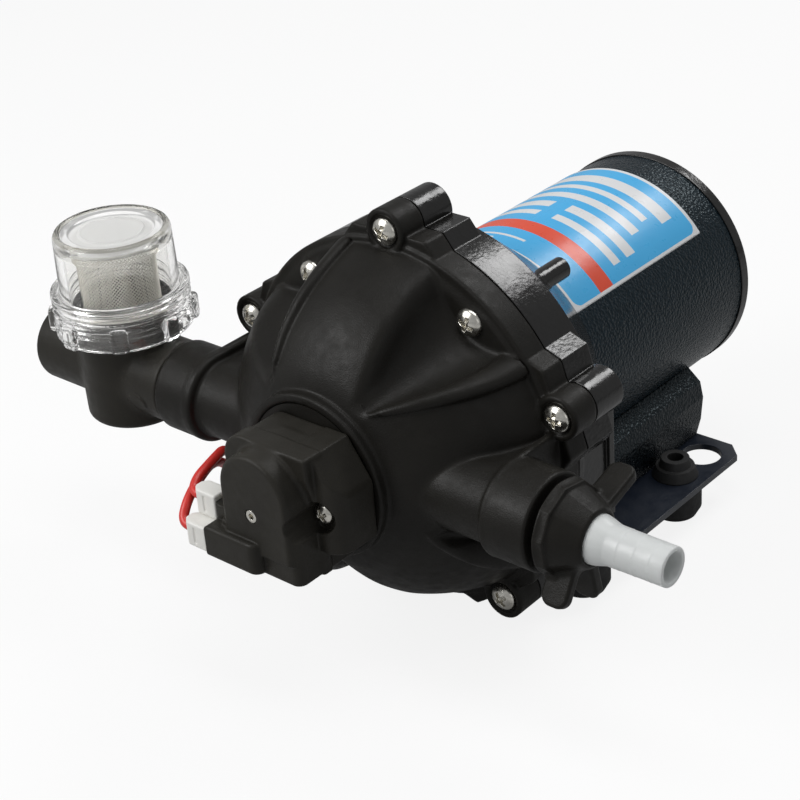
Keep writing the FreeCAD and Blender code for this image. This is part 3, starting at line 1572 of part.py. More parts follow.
def make_strainer():
    gap = s.fit_gap
    inner = s.strainer_radius - s.strainer_wall
    body = about_strainer(
        "strainer_cup",
        [
            (0.0, s.strainer_bottom),
            (s.strainer_radius - 1.2, s.strainer_bottom),
            (s.strainer_radius, s.strainer_bottom + 1.2),
            (s.strainer_radius, s.male_thread_bottom - 2.0),
            (s.male_thread_radius, s.male_thread_bottom),
            (s.male_thread_radius, s.strainer_top),
            (inner, s.strainer_top),
            (inner, s.strainer_bottom + s.strainer_wall),
            (0.0, s.strainer_bottom + s.strainer_wall),
        ],
    )
    stub_end = -s.port_collar_end - gap
    side = rod_x("strainer_stub", s.port_collar_radius - 1.2, s.strainer_x, stub_end, s.port_y)
    spigot = rod_x("strainer_spigot", s.spigot_radius, s.strainer_x, s.spigot_end_x - 1.0, s.port_y)
    inlet = rod_x("strainer_inlet", s.inlet_radius, s.inlet_end_x, s.strainer_x, s.port_y)
    groove = ring(
        "port_groove",
        s.spigot_radius - 2 * s.seal_wire,
        s.spigot_radius + 1.0,
        s.port_seal_x - s.seal_wire - gap,
        s.port_seal_x + s.seal_wire + gap,
        x=0.0,
        y=s.seat_y + s.port_y,
        turn=SIDEWAYS,
    )
    hollow = about_strainer(
        "strainer_hollow",
        [
            (0.0, s.strainer_bottom + s.strainer_wall),
            (inner, s.strainer_bottom + s.strainer_wall),
            (inner, s.strainer_top + 1.0),
            (0.0, s.strainer_top + 1.0),
        ],
    )
    out_bore = rod_x("strainer_out_bore", s.port_bore, s.strainer_x, s.spigot_end_x, s.port_y)
    bore_end = s.inlet_end_x + s.inlet_bore_depth
    relief_end = bore_end + s.inlet_relief_length
    in_bore = rod_x("strainer_in_bore", s.inlet_bore, s.inlet_end_x - 1.0, bore_end, s.port_y)
    relief = rod_x("strainer_in_relief", s.inlet_relief_radius, bore_end, relief_end, s.port_y)
    in_passage = rod_x("strainer_in_passage", s.port_bore, bore_end, s.strainer_x, s.port_y)
    solid = fuse("strainer_solid", body, side, spigot, inlet)
    tools = [hollow, out_bore, in_bore, relief, in_passage, groove]
    node(cut("strainer_cut", solid, *tools), "strainer_body")
    port_seal = doc.addObject("Part::Torus", "port_o_ring")
    bind(port_seal, "Radius1", s.spigot_radius - s.seal_wire)
    bind(port_seal, "Radius2", s.seal_wire)
    put(port_seal, s.port_seal_x, s.seat_y + s.port_y, s.axis_height, TO_X)
    node(port_seal, "port_seal")
    rim_bottom = s.strainer_top + 2 * s.seal_wire
    rim_top = rim_bottom + s.bowl_rim_height

    bowl_inner = s.bowl_radius - s.bowl_wall
    bowl = about_strainer(
        "bowl",
        [
            (bowl_inner, rim_bottom),
            (s.bowl_rim_radius, rim_bottom),
            (s.bowl_rim_radius, rim_top),
            (s.bowl_radius + 0.6, rim_top),
            (s.bowl_radius, s.bowl_top - s.bowl_chamfer),
            (s.bowl_radius - s.bowl_chamfer, s.bowl_top),
            (s.bowl_dish_radius, s.bowl_top),
            (s.bowl_dish_radius - 0.6, s.bowl_top - s.bowl_dish_depth),
            (0.0, s.bowl_top - s.bowl_dish_depth),
            (0.0, s.bowl_top - s.bowl_dish_depth - s.bowl_wall),
            (bowl_inner - 2.0, s.bowl_top - s.bowl_dish_depth - s.bowl_wall),
            (bowl_inner, s.bowl_top - s.bowl_dish_depth - s.bowl_wall - 2.0),
        ],
    )
    node(bowl, "strainer_bowl")

    lock = about_strainer(
        "lock_band",
        [
            (s.male_thread_radius + s.thread_room, s.lock_ring_bottom),
            (s.lock_ring_radius, s.lock_ring_bottom),
            (s.lock_ring_radius, (rim_top + s.lock_lip)),
            (s.bowl_radius + 0.6 + 3 * gap, (rim_top + s.lock_lip)),
            (s.bowl_radius + 0.6 + 3 * gap, rim_top + gap),
            (s.bowl_rim_radius + gap, rim_top + gap),
            (s.bowl_rim_radius + gap, rim_bottom - 1.0),
            (s.male_thread_radius + s.thread_room, rim_bottom - 2.0),
        ],
    )
    lugs = []
    for i, degrees in enumerate(around(FIRST_LUG, LUG_COUNT)):
        lug = doc.addObject("Part::Box", "ring_lug_%d" % i)
        start = s.lock_ring_radius - 1.0
        bind(lug, "Length", s.lug_reach - start)
        bind(lug, "Width", s.lug_width)
        bind(lug, "Height", s.lug_height)
        angle = math.radians(degrees)
        half = s.lug_width / 2
        put(
            lug,
            s.strainer_x + start * math.cos(angle) + half * math.sin(angle),
            s.seat_y + s.port_y + start * math.sin(angle) - half * math.cos(angle),
            s.axis_height + s.lock_ring_bottom,
            FreeCAD.Rotation(V(0, 0, 1), degrees),
        )
        lugs.append(lug)
    node(fuse("lock_ring_solid", lock, *lugs), "lock_ring")

    mesh_bottom = s.strainer_bottom + s.strainer_wall
    mesh_inner = s.mesh_radius - s.mesh_wall
    foot_top = mesh_bottom + s.mesh_frame_height
    cap_bottom = s.mesh_top - s.mesh_frame_height
    mesh = about_strainer(
        "mesh_tube",
        [
            (mesh_inner, foot_top),
            (s.mesh_radius, foot_top),
            (s.mesh_radius, cap_bottom),
            (mesh_inner, cap_bottom),
        ],
    )
    node(mesh, "filter_mesh")
    foot = about_strainer(
        "mesh_foot",
        [
            (mesh_inner - s.mesh_frame_wall, mesh_bottom),
            (s.mesh_radius + 0.6, mesh_bottom),
            (s.mesh_radius + 0.6, foot_top),
            (mesh_inner - s.mesh_frame_wall, foot_top),
        ],
    )
    crown = about_strainer(
        "mesh_crown",
        [
            (0.0, cap_bottom),
            (s.mesh_radius + 0.6, cap_bottom),
            (s.mesh_radius + 0.6, s.mesh_top),
            (0.0, s.mesh_top),
        ],
    )
    node(group("mesh_ends", foot, crown), "mesh_frame")

    seal = doc.addObject("Part::Torus", "bowl_o_ring")
    bind(seal, "Radius1", s.male_thread_radius - s.seal_wire - gap)
    bind(seal, "Radius2", s.seal_wire)
    put(seal, s.strainer_x, s.seat_y + s.port_y, s.axis_height + s.strainer_top + s.seal_wire)
    node(seal, "bowl_seal")


# Base, cradle and feet


def make_base():
    corner = s.plate_corner
    wide = s.plate_half_width
    notch = s.plate_notch_half
    plate = padded(
        "plate_blank",
        "XY_Plane",
        [
            (-wide, s.plate_front_y + corner),
            (-wide + corner, s.plate_front_y),
            (-notch, s.plate_front_y),
            (-notch, s.plate_notch_y),
            (notch, s.plate_notch_y),
            (notch, s.plate_front_y),
            (wide - corner, s.plate_front_y),
            (wide, s.plate_front_y + corner),
            (wide, s.plate_rear_y - corner),
            (wide - corner, s.plate_rear_y),
            (-wide + corner, s.plate_rear_y),
            (-wide, s.plate_rear_y - corner),
        ],
        s.plate_thickness,
        0.0,
        0.0,
        s.plate_top - s.plate_thickness,
    )
    low = s.plate_top - s.plate_thickness - 1.0
    holes = []
    for i, (x, y) in enumerate(foot_places()):
        hole = s.foot_neck_radius + s.fit_gap
        holes.append(rod("foot_hole_%d" % i, hole, s.plate_thickness + 2.0, x, y, low))
    for i, x in enumerate((-s.rear_hole_x, s.rear_hole_x)):
        depth = s.plate_thickness + 2.0
        holes.append(rod("rear_hole_%d" % i, s.rear_hole_radius, depth, x, s.rear_hole_y, low))
    node(cut("plate_drilled", plate, *holes), "base_plate")

    gap = s.fit_gap
    for number_of_foot, (x, y) in enumerate(foot_places(), start=1):
        under = s.plate_top - s.plate_thickness
        foot = turned(
            "foot_%d" % number_of_foot,
            [
                (s.foot_bore, 0.0),
                (s.foot_bottom_radius - 1.6, 0.0),
                (s.foot_bottom_radius, 3.0),
                (s.foot_bottom_radius, under - gap),
                (s.foot_neck_radius, under - gap),
                (s.foot_neck_radius, s.plate_top + gap),
                (s.foot_top_radius, s.plate_top + gap),
                (s.foot_top_radius - 1.2, s.plate_top + s.foot_flange),
                (s.foot_boss_radius, s.plate_top + s.foot_flange),
                (s.foot_boss_radius - 0.6, s.foot_height),
                (s.foot_bore, s.foot_height),
            ],
            x=x,
            y=y,
            z=0.0,
            turn=UPRIGHT,
        )
        node(foot, "rubber_foot_%d" % number_of_foot)


def foot_places():
    half = s.foot_spacing_y / 2
    return [(s.foot_x, -half), (s.foot_x, half), (-s.foot_x, half), (-s.foot_x, -half)]


def make_cradle():
    thick = s.cradle_thickness
    clear = rod_y("cradle_clear", s.can_radius + s.fit_gap, 0.0, s.cap_end)
    top_x, top_z = circle_point(s.can_radius, SIZES["cradle_top_angle"])
    lip_x, lip_z = circle_point(s.can_radius, SIZES["cradle_lip_angle"])
    for label, mirror in (("cradle_right", 1), ("cradle_left", -1)):
        points = [
            (lip_x, s.axis_height + lip_z),
            (top_x, s.axis_height + top_z),
            (s.cradle_bulge_x - 1.2, s.cradle_bulge_z + s.cradle_shoulder_rise),
            (s.cradle_bulge_x, s.cradle_bulge_z),
            (s.cradle_bulge_x - 0.8, s.plate_top + s.cradle_foot_rise),
            (s.cradle_foot_x + 1.0, s.plate_top),
            (s.cradle_foot_x + 1.0 - thick * 3, s.plate_top),
            (s.cradle_foot_x + 1.0 - thick * 3, s.plate_top + thick),
            (s.cradle_foot_x - thick + 0.6, s.plate_top + thick),
            (s.cradle_bulge_x - thick - 0.8, s.plate_top + s.cradle_foot_rise + 0.5),
            (s.cradle_bulge_x - thick, s.cradle_bulge_z),
            (s.cradle_bulge_x - thick - 1.4, s.cradle_bulge_z + s.cradle_shoulder_rise - 1.3),
        ]
        if mirror < 0:
            points = [(-x, y) for x, y in points]
        wall = padded(
            label + "_wall",
            "XZ_Plane",
            points,
            s.cradle_end_y - s.cradle_start_y,
            0.0,
            s.cradle_start_y,
            0.0,
            reverse=True,
        )
        node(cut(label + "_cut", wall, clear), label)


# Screws of the head


def make_head_screws():
    ears = []
    inner = []
    for i, degrees in enumerate(around(FIRST_EAR)):
        x, z = circle_point(s.ear_circle, degrees)
        ears.append(
            screw(
                "ear_screw_%d" % i,
                x,
                z,
                0.0,
                s.ear_screw_length,
                s.screw_head_radius,
                s.screw_head_height,
                s.screw_shank_radius,
            )
        )
    for i, degrees in enumerate(around(FIRST_VALLEY)):
        x, z = circle_point(s.valley_circle, degrees)
        inner.append(
            screw(
                "valley_screw_%d" % i,
                x,
                z,
                s.valley_seat,
                s.valley_screw_length,
                s.screw_head_radius,
                s.screw_head_height,
                s.screw_shank_radius,
            )
        )
    node(group("ear_screw_set", *ears), "ear_screws")
    node(group("valley_screw_set", *inner), "valley_screws")


make_motor()
make_drive_housing()
make_wobble_drive()
make_pump_head()
make_valves()
make_diaphragm()
make_pistons()
make_switch()
make_outlet()
make_strainer()
make_red_leads()
make_base()
make_cradle()
make_head_screws()

doc.recompute()
for thing in doc.Objects:
    if "Invalid" in thing.State or "Error" in thing.State:
        raise SystemExit("%s did not build: %s" % (thing.Label, thing.State))
os.makedirs("parts", exist_ok=True)
for piece in NODES:
    shape = piece.Shape
    if shape.isNull() or not shape.isValid():
        raise SystemExit("%s has no sound shape" % piece.Label)
    print("%-20s solids %d volume %.1f" % (piece.Label, len(shape.Solids), shape.Volume))
    shape.exportStep("parts/%s.step" % piece.Label)
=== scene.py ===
import json
import math

import bmesh
import bpy
import numpy as np
from mathutils import Matrix, Vector


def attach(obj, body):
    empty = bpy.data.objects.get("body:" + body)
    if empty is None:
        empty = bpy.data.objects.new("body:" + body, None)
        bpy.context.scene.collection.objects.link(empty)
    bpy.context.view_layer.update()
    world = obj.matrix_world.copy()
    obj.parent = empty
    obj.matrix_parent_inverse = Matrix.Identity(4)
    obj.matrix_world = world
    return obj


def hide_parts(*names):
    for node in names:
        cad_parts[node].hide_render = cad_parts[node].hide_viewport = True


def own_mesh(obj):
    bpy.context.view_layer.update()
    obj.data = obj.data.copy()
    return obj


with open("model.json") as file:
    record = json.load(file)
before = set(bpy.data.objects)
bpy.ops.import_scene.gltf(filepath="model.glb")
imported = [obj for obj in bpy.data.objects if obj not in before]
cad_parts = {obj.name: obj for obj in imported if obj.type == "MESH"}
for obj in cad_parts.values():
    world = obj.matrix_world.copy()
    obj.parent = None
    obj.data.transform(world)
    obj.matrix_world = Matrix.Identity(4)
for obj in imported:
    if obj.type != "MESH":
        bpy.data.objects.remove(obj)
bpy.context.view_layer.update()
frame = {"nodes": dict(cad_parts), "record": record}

# Looks of a diaphragm water pump: a black lobed head, a glossy housing, a hammertone motor with
# a blue label, a clear strainer, a white hose barb and a painted base on rubber feet.

# The ear screws' seat, the shaft and the motor can in the frame, in metres.
MM = 0.001
SEAT_Y = -56 * MM
AXIS_Z = 60 * MM
CAN_RADIUS = 38 * MM

# Places from that seat and the shaft: millimetres, and degrees round the shaft.
PORT = -19.6
CUP_X = -96.7
SWITCH_REAR = -38.7
SWITCH_LUG = 16
SWITCH_LUG_SEAT = -51
EARS = [90 + 72 * i for i in range(5)]
EAR_CIRCLE = 61.3
VALLEYS = [54 + 72 * i for i in range(5)]
VALLEY_CIRCLE = 50.6
VALLEY_SEAT = -1


# Camera, floor and light

CAMERA_PLACE = Vector((327.3, -411.5, 335.0)) * MM
CAMERA_AZIMUTH = math.radians(42.61)
CAMERA_ELEVATION = math.radians(29.04)
CAMERA_ROLL = math.radians(-4.66)
CAMERA_LENS = 84.21
# How much of the white surroundings a reflection shows, above the floor and of the floor.
GLOSS_SHARE = 0.3
FLOOR_GLOSS_SHARE = 0.12
FLOOR_REACH = 6.0
FLOOR_COLOUR = (0.9, 0.9, 0.9, 1)
FLOOR_DULL_COLOUR = (0.45, 0.45, 0.45, 1)
FLOOR_GLOW = 0.86
WORLD_COLOUR = (0.95, 0.97, 1.0, 1)
WORLD_STRENGTH = 0.2
# Each lamp's place in metres, its width and length, and its power in watts.
LAMPS = {
    "key_lamp": ((-0.5, -0.8, 0.7), (0.6, 0.6), 7.4),
    "fill_lamp": ((0.95, -0.35, 0.45), (0.6, 0.4), 0.4),
    "back_lamp": ((0.12, 0.75, 0.9), (0.4, 0.3), 3.4),
    "top_lamp": ((0.1, 0.0, 1.05), (0.3, 0.8), 3.0),
}
LAMP_TARGET = Vector((0, -0.02, 0.06))


def make_camera():
    """A camera that looks down on the pump from its outlet side, slightly rolled as in the photo."""
    turn_cos, turn_sin = math.cos(CAMERA_AZIMUTH), math.sin(CAMERA_AZIMUTH)
    tilt_cos, tilt_sin = math.cos(CAMERA_ELEVATION), math.sin(CAMERA_ELEVATION)
    back = Vector((turn_sin * tilt_cos, -turn_cos * tilt_cos, tilt_sin))
    level = Vector((turn_cos, turn_sin, 0))
    lift = level.cross(-back)
    right = math.cos(CAMERA_ROLL) * level + math.sin(CAMERA_ROLL) * lift
    up = -math.sin(CAMERA_ROLL) * level + math.cos(CAMERA_ROLL) * lift
    data = bpy.data.cameras.new("camera")
    data.lens = CAMERA_LENS
    data.sensor_width = 36
    data.clip_start = 0.01
    camera = bpy.data.objects.new("camera", data)
    bpy.context.scene.collection.objects.link(camera)
    turn = Matrix((right, up, back)).transposed().to_4x4()
    camera.matrix_world = Matrix.Translation(CAMERA_PLACE) @ turn
    bpy.context.scene.camera = camera


def make_lights():
    """Soft lamps that all point at the pump's middle."""
    for name, (place, size, power) in LAMPS.items():
        data = bpy.data.lights.new(name, "AREA")
        data.shape = "RECTANGLE"
        data.size, data.size_y = size
        data.energy = power
        lamp = bpy.data.objects.new(name, data)
        lamp.location = place
        aim = LAMP_TARGET - Vector(place)
        lamp.rotation_euler = aim.to_track_quat("-Z", "Y").to_euler()
        bpy.context.scene.collection.objects.link(lamp)


def seen_rays(tree, gloss_share):
    """One for the camera's rays and those through clear plastic, a share for gloss, else zero."""
    nodes, links = tree.nodes, tree.links
    path = nodes.new("ShaderNodeLightPath")
    straight = nodes.new("ShaderNodeMath")
    straight.operation = "MAXIMUM"
    links.new(path.outputs["Is Camera Ray"], straight.inputs[0])
    links.new(path.outputs["Is Transmission Ray"], straight.inputs[1])
    gloss = nodes.new("ShaderNodeMath")
    gloss.operation = "MULTIPLY_ADD"
    links.new(path.outputs["Is Glossy Ray"], gloss.inputs[0])
    gloss.inputs[1].default_value = gloss_share
    links.new(straight.outputs[0], gloss.inputs[2])
    return gloss.outputs[0]


def floor_shader(tree):
    """A floor that throws back a dull light, and is seen by the camera and in gloss as white."""
    nodes, links = tree.nodes, tree.links
    nodes.clear()
    out = nodes.new("ShaderNodeOutputMaterial")
    plain = nodes.new("ShaderNodeBsdfDiffuse")
    plain.inputs["Color"].default_value = FLOOR_COLOUR
    glow = nodes.new("ShaderNodeEmission")
    glow.inputs["Strength"].default_value = 1.0
    dull = nodes.new("ShaderNodeBsdfDiffuse")
    dull.inputs["Color"].default_value = FLOOR_DULL_COLOUR
    mix = nodes.new("ShaderNodeMixShader")
    mix.inputs[0].default_value = FLOOR_GLOW
    links.new(plain.outputs[0], mix.inputs[1])
    links.new(glow.outputs[0], mix.inputs[2])
    choose = nodes.new("ShaderNodeMixShader")
    links.new(seen_rays(tree, FLOOR_GLOSS_SHARE), choose.inputs[0])
    links.new(dull.outputs[0], choose.inputs[1])
    links.new(mix.outputs[0], choose.inputs[2])
    links.new(choose.outputs[0], out.inputs["Surface"])


def make_floor():
    mesh = bpy.data.meshes.new("floor")
    corners = [(-1, -1), (1, -1), (1, 1), (-1, 1)]
    mesh.from_pydata([(x * FLOOR_REACH, y * FLOOR_REACH, 0) for x, y in corners], [], [(0, 1, 2, 3)])
    floor = bpy.data.objects.new("floor", mesh)
    bpy.context.scene.collection.objects.link(floor)
    material = bpy.data.materials.new("floor_white")
    material.use_nodes = True
    floor_shader(material.node_tree)
    mesh.materials.append(material)


def make_world():
    """Dim soft light from all round, seen by the camera and in gloss as white."""
    world = bpy.data.worlds.new("studio")
    bpy.context.scene.world = world
    world.use_nodes = True
    nodes, links = world.node_tree.nodes, world.node_tree.links
    nodes.clear()
    out = nodes.new("ShaderNodeOutputWorld")
    dim = nodes.new("ShaderNodeBackground")
    dim.inputs["Color"].default_value = WORLD_COLOUR
    dim.inputs["Strength"].default_value = WORLD_STRENGTH
    white = nodes.new("ShaderNodeBackground")
    white.inputs["Strength"].default_value = 1.0
    mix = nodes.new("ShaderNodeMixShader")
    links.new(seen_rays(world.node_tree, GLOSS_SHARE), mix.inputs[0])
    links.new(dim.outputs[0], mix.inputs[1])
    links.new(white.outputs[0], mix.inputs[2])
    links.new(mix.outputs[0], out.inputs["Surface"])


# Materials

# Where the moulding is painted paler as painted light, standing in for the stronger light the lamps
# throw there: the switch within this of the shaft, the strainer left of this.
PAINTED_LIGHT_SWITCH_SIDE = 30
PAINTED_LIGHT_STRAINER_SIDE = -71.3
# The clear bowl's parts, from the shaft's height and the bowl's axis.
BOWL_RIM_UP = 46.85
BOWL_RIM_INSIDE = 16.0
BOWL_LID_UP = 44.0
BOWL_LID_RADIUS = 15.9
# Areas of the label: from and to along the motor, from and to round it.
LABEL_PANEL = (48.9, 114.1, -33.8, 33.8)
LABEL_CORNER = 3.0
LABEL_STRIPE = (61.2, 67.8, -34, 34)
LABEL_BARS = [
    (103, 108.5, -26, 26),
    (96.5, 99.5, -22, 22),
    (88.5, 92.5, -24, 24),
    (80, 84.5, -29, -3),
    (80, 84.5, 3, 29),
    (73, 76.5, -29, -3),
    (73, 76.5, 3, 29),
    (55, 56.2, -29, 6),
    (52, 53.2, -29, -4),
]


class Shader:
    """A principled material with procedural colour, roughness and bump."""

    def __init__(self, name):
        self.material = bpy.data.materials.new(name)
        self.material.use_nodes = True
        self.tree = self.material.node_tree
        self.nodes = self.tree.nodes
        self.links = self.tree.links
        self.body = self.nodes["Principled BSDF"]
        self.place = self.nodes.new("ShaderNodeTexCoord").outputs["Object"]

    def set(self, **values):
        for key, value in values.items():
            self.body.inputs[key.replace("_", " ")].default_value = value

    def axes(self):
        split = self.nodes.new("ShaderNodeSeparateXYZ")
        self.links.new(self.place, split.inputs[0])
        return split.outputs

    def noise(self, scale, detail):
        texture = self.nodes.new("ShaderNodeTexNoise")
        texture.inputs["Scale"].default_value = scale
        texture.inputs["Detail"].default_value = detail
        self.links.new(self.place, texture.inputs["Vector"])
        return texture.outputs["Fac"]

    def pits(self, scale, smoothness):
        texture = self.nodes.new("ShaderNodeTexVoronoi")
        texture.feature = "SMOOTH_F1"
        texture.inputs["Scale"].default_value = scale
        texture.inputs["Smoothness"].default_value = smoothness
        self.links.new(self.place, texture.inputs["Vector"])
        return texture.outputs["Distance"]

    def span(self, value, low, high, to_low, to_high):
        """A value stretched from one range to another, held at both ends."""
        node = self.nodes.new("ShaderNodeMapRange")
        ends = {"From Min": low, "From Max": high, "To Min": to_low, "To Max": to_high}
        for slot, number in ends.items():
            node.inputs[slot].default_value = number
        self.links.new(value, node.inputs["Value"])
        return node.outputs["Result"]

    def math(self, kind, a, b=None):
        node = self.nodes.new("ShaderNodeMath")
        node.operation = kind
        for slot, value in enumerate((a, b)):
            if value is None:
                continue
            if isinstance(value, (int, float)):
                node.inputs[slot].default_value = value
            else:
                self.links.new(value, node.inputs[slot])
        return node.outputs[0]

    def mix(self, factor, first, second):
        node = self.nodes.new("ShaderNodeMix")
        node.data_type = "RGBA"
        for slot, value in zip(("Factor", "A", "B"), (factor, first, second)):
            inputs = [i for i in node.inputs if i.name == slot and i.enabled]
            if isinstance(value, tuple):
                inputs[0].default_value = (*value, 1)
            elif isinstance(value, (int, float)):
                inputs[0].default_value = value
            else:
                self.links.new(value, inputs[0])
        return [o for o in node.outputs if o.enabled][0]

    def colour(self, value):
        self.links.new(value, self.body.inputs["Base Color"])

    def rough(self, scale, detail, low, high):
        """A roughness that wanders between two values."""
        value = self.span(self.noise(scale, detail), 0.3, 0.7, low, high)
        self.links.new(value, self.body.inputs["Roughness"])

    def bump(self, height, depth, strength, edge=0.0):
        """Fine relief of a real depth in metres, over edges softened by a radius."""
        node = self.nodes.new("ShaderNodeBump")
        node.inputs["Strength"].default_value = strength
        node.inputs["Distance"].default_value = depth
        self.links.new(height, node.inputs["Height"])
        if edge:
            self.links.new(self.soft_edge(edge), node.inputs["Normal"])
        self.links.new(node.outputs["Normal"], self.body.inputs["Normal"])

    def soft_edge(self, radius):
        node = self.nodes.new("ShaderNodeBevel")
        node.samples = 6
        node.inputs["Radius"].default_value = radius
        return node.outputs["Normal"]


def matte_black():
    """Glass filled moulding with a fine grain, painted paler on the switch and the strainer as painted
    light.
    """
    s = Shader("matte_black_moulding")
    x, y, _ = s.axes()
    # Painted light: a mask of the switch and the strainer, which get a paler colour for the stronger
    # light that falls on them.
    switch = s.math("LESS_THAN", y, SEAT_Y + SWITCH_REAR * MM)
    switch = s.math("MULTIPLY", switch, s.math("LESS_THAN", s.math("ABSOLUTE", x), PAINTED_LIGHT_SWITCH_SIDE * MM))
    painted_light_mask = s.math("MAXIMUM", switch, s.math("LESS_THAN", x, PAINTED_LIGHT_STRAINER_SIDE * MM))
    mottle = s.span(s.noise(55, 5), 0.3, 0.7, 0, 1)
    head = s.mix(mottle, (0.0082, 0.0075, 0.0062), (0.0126, 0.0116, 0.0096))
    # The same moulding's tone with painted light, used on the switch and the strainer.
    painted_lit_tone = s.mix(mottle, (0.019, 0.0175, 0.0142), (0.027, 0.025, 0.0205))
    s.colour(s.mix(painted_light_mask, head, painted_lit_tone))
    grain = s.noise(2600, 2)
    s.rough(300, 3, 0.36, 0.52)
    s.set(Specular_IOR_Level=0.18)
    s.bump(s.math("ADD", grain, s.math("MULTIPLY", s.noise(420, 3), 0.8)), 0.00009, 0.8)
    return s.material


def gloss_black():
    """Painted die casting: near black, shiny, with a slight orange peel."""
    s = Shader("gloss_black_housing")
    s.colour(s.mix(s.noise(40, 3), (0.0045, 0.0042, 0.0038), (0.0075, 0.007, 0.0062)))
    s.rough(160, 4, 0.12, 0.24)
    s.set(Specular_IOR_Level=0.5)
    s.bump(s.noise(700, 3), 0.00016, 0.6, edge=0.0005)
    return s.material


def hammertone(name, dark, light, rough_low, rough_high):
    """Hammer paint: shallow pits about a millimetre apart, with shiny rims."""
    s = Shader(name)
    pits = s.pits(1100, 0.4)
    cloud = s.noise(900, 4)
    s.colour(s.mix(s.span(cloud, 0.35, 0.65, 0, 1), dark, light))
    s.rough(900, 3, rough_low, rough_high)
    s.set(Specular_IOR_Level=0.26, Specular_Tint=(0.72, 0.92, 1.0, 1))
    s.bump(s.math("ADD", pits, s.math("MULTIPLY", cloud, 0.6)), 0.00032, 0.9, edge=0.0004)
    return s.material


def smooth_paint():
    s = Shader("navy_base_paint")
    s.colour(s.mix(s.noise(70, 4), (0.0055, 0.0085, 0.016), (0.009, 0.014, 0.026)))
    s.rough(220, 3, 0.28, 0.42)
    s.set(Coat_Weight=0.3, Coat_Roughness=0.15)
    s.bump(s.noise(260, 3), 0.00014, 0.5, edge=0.0004)
    return s.material


def rubber():
    s = Shader("black_rubber")
    s.colour(s.mix(s.noise(120, 4), (0.006, 0.006, 0.0062), (0.011, 0.011, 0.0112)))
    s.rough(400, 3, 0.6, 0.78)
    s.bump(s.noise(1500, 3), 0.00008, 0.5, edge=0.0005)
    return s.material


def bright_metal(name, first, second, rough_low, rough_high):
    s = Shader(name)
    s.colour(s.mix(s.span(s.noise(420, 5), 0.35, 0.65, 0, 1), first, second))
    s.rough(800, 4, rough_low, rough_high)
    s.set(Metallic=1.0)
    s.bump(s.noise(1400, 3), 0.00004, 0.4, edge=0.0002)
    return s.material


def plain_plastic(name, first, second, rough_low, rough_high, subsurface=0.0):
    s = Shader(name)
    s.colour(s.mix(s.noise(90, 4), first, second))
    s.rough(350, 3, rough_low, rough_high)
    if subsurface:
        s.set(Subsurface_Weight=subsurface, Subsurface_Scale=0.002, Subsurface_Radius=(1, 1, 1))
    s.bump(s.noise(900, 3), 0.00004, 0.4, edge=0.0003)
    return s.material


def label_film():
    """A blue film with a white edge, a red stripe and plain bars in place of words."""
    s = Shader("label_film")
    x, y, z = s.axes()
    along = s.math("MULTIPLY", s.math("SUBTRACT", y, SEAT_Y), 1 / MM)
    turn = s.math("ARCTAN2", x, s.math("SUBTRACT", z, AXIS_Z))
    around = s.math("MULTIPLY", turn, CAN_RADIUS / MM)

    def panel(low, high, left, right):
        """One inside a plain rectangle."""
        middle, centre = (low + high) / 2, (left + right) / 2
        in_length = s.math("COMPARE", along, middle)
        in_length.node.inputs[2].default_value = (high - low) / 2
        in_width = s.math("COMPARE", around, centre)
        in_width.node.inputs[2].default_value = (right - left) / 2
        return s.math("MULTIPLY", in_length, in_width)

    def rounded(low, high, left, right, radius):
        """One inside a panel with round corners."""
        past = []
        for place, start, end in ((along, low, high), (around, left, right)):
            aside = s.math("ABSOLUTE", s.math("SUBTRACT", place, (start + end) / 2))
            past.append(s.math("MAXIMUM", s.math("SUBTRACT", aside, (end - start) / 2 - radius), 0.0))
        squares = [s.math("MULTIPLY", value, value) for value in past]
        return s.math("LESS_THAN", s.math("ADD", *squares), radius * radius)

    cloud = s.noise(120, 3)
    colour = s.mix(cloud, (0.06, 0.43, 0.8), (0.075, 0.46, 0.84))
    stripe = s.mix(cloud, (0.72, 0.07, 0.03), (0.8, 0.095, 0.045))
    white = s.mix(cloud, (0.72, 0.73, 0.74), (0.78, 0.79, 0.8))
    colour = s.mix(panel(*LABEL_STRIPE), colour, stripe)
    for bar in LABEL_BARS:
        colour = s.mix(panel(*bar), colour, white)
    s.colour(s.mix(rounded(*LABEL_PANEL, LABEL_CORNER), white, colour))
    s.rough(350, 3, 0.26, 0.36)
    s.bump(s.noise(900, 3), 0.00004, 0.4)
    return s.material


def barb_white():
    """Natural translucent moulding of the hose barb."""
    s = Shader("barb_translucent_white")
    s.colour(s.mix(s.noise(60, 4), (0.66, 0.68, 0.67), (0.72, 0.74, 0.73)))
    s.rough(240, 3, 0.3, 0.42)
    s.set(Subsurface_Weight=0.6, Subsurface_Scale=0.004, Subsurface_Radius=(1, 1, 1), IOR=1.49)
    s.bump(s.noise(700, 3), 0.00005, 0.4, edge=0.0003)
    return s.material


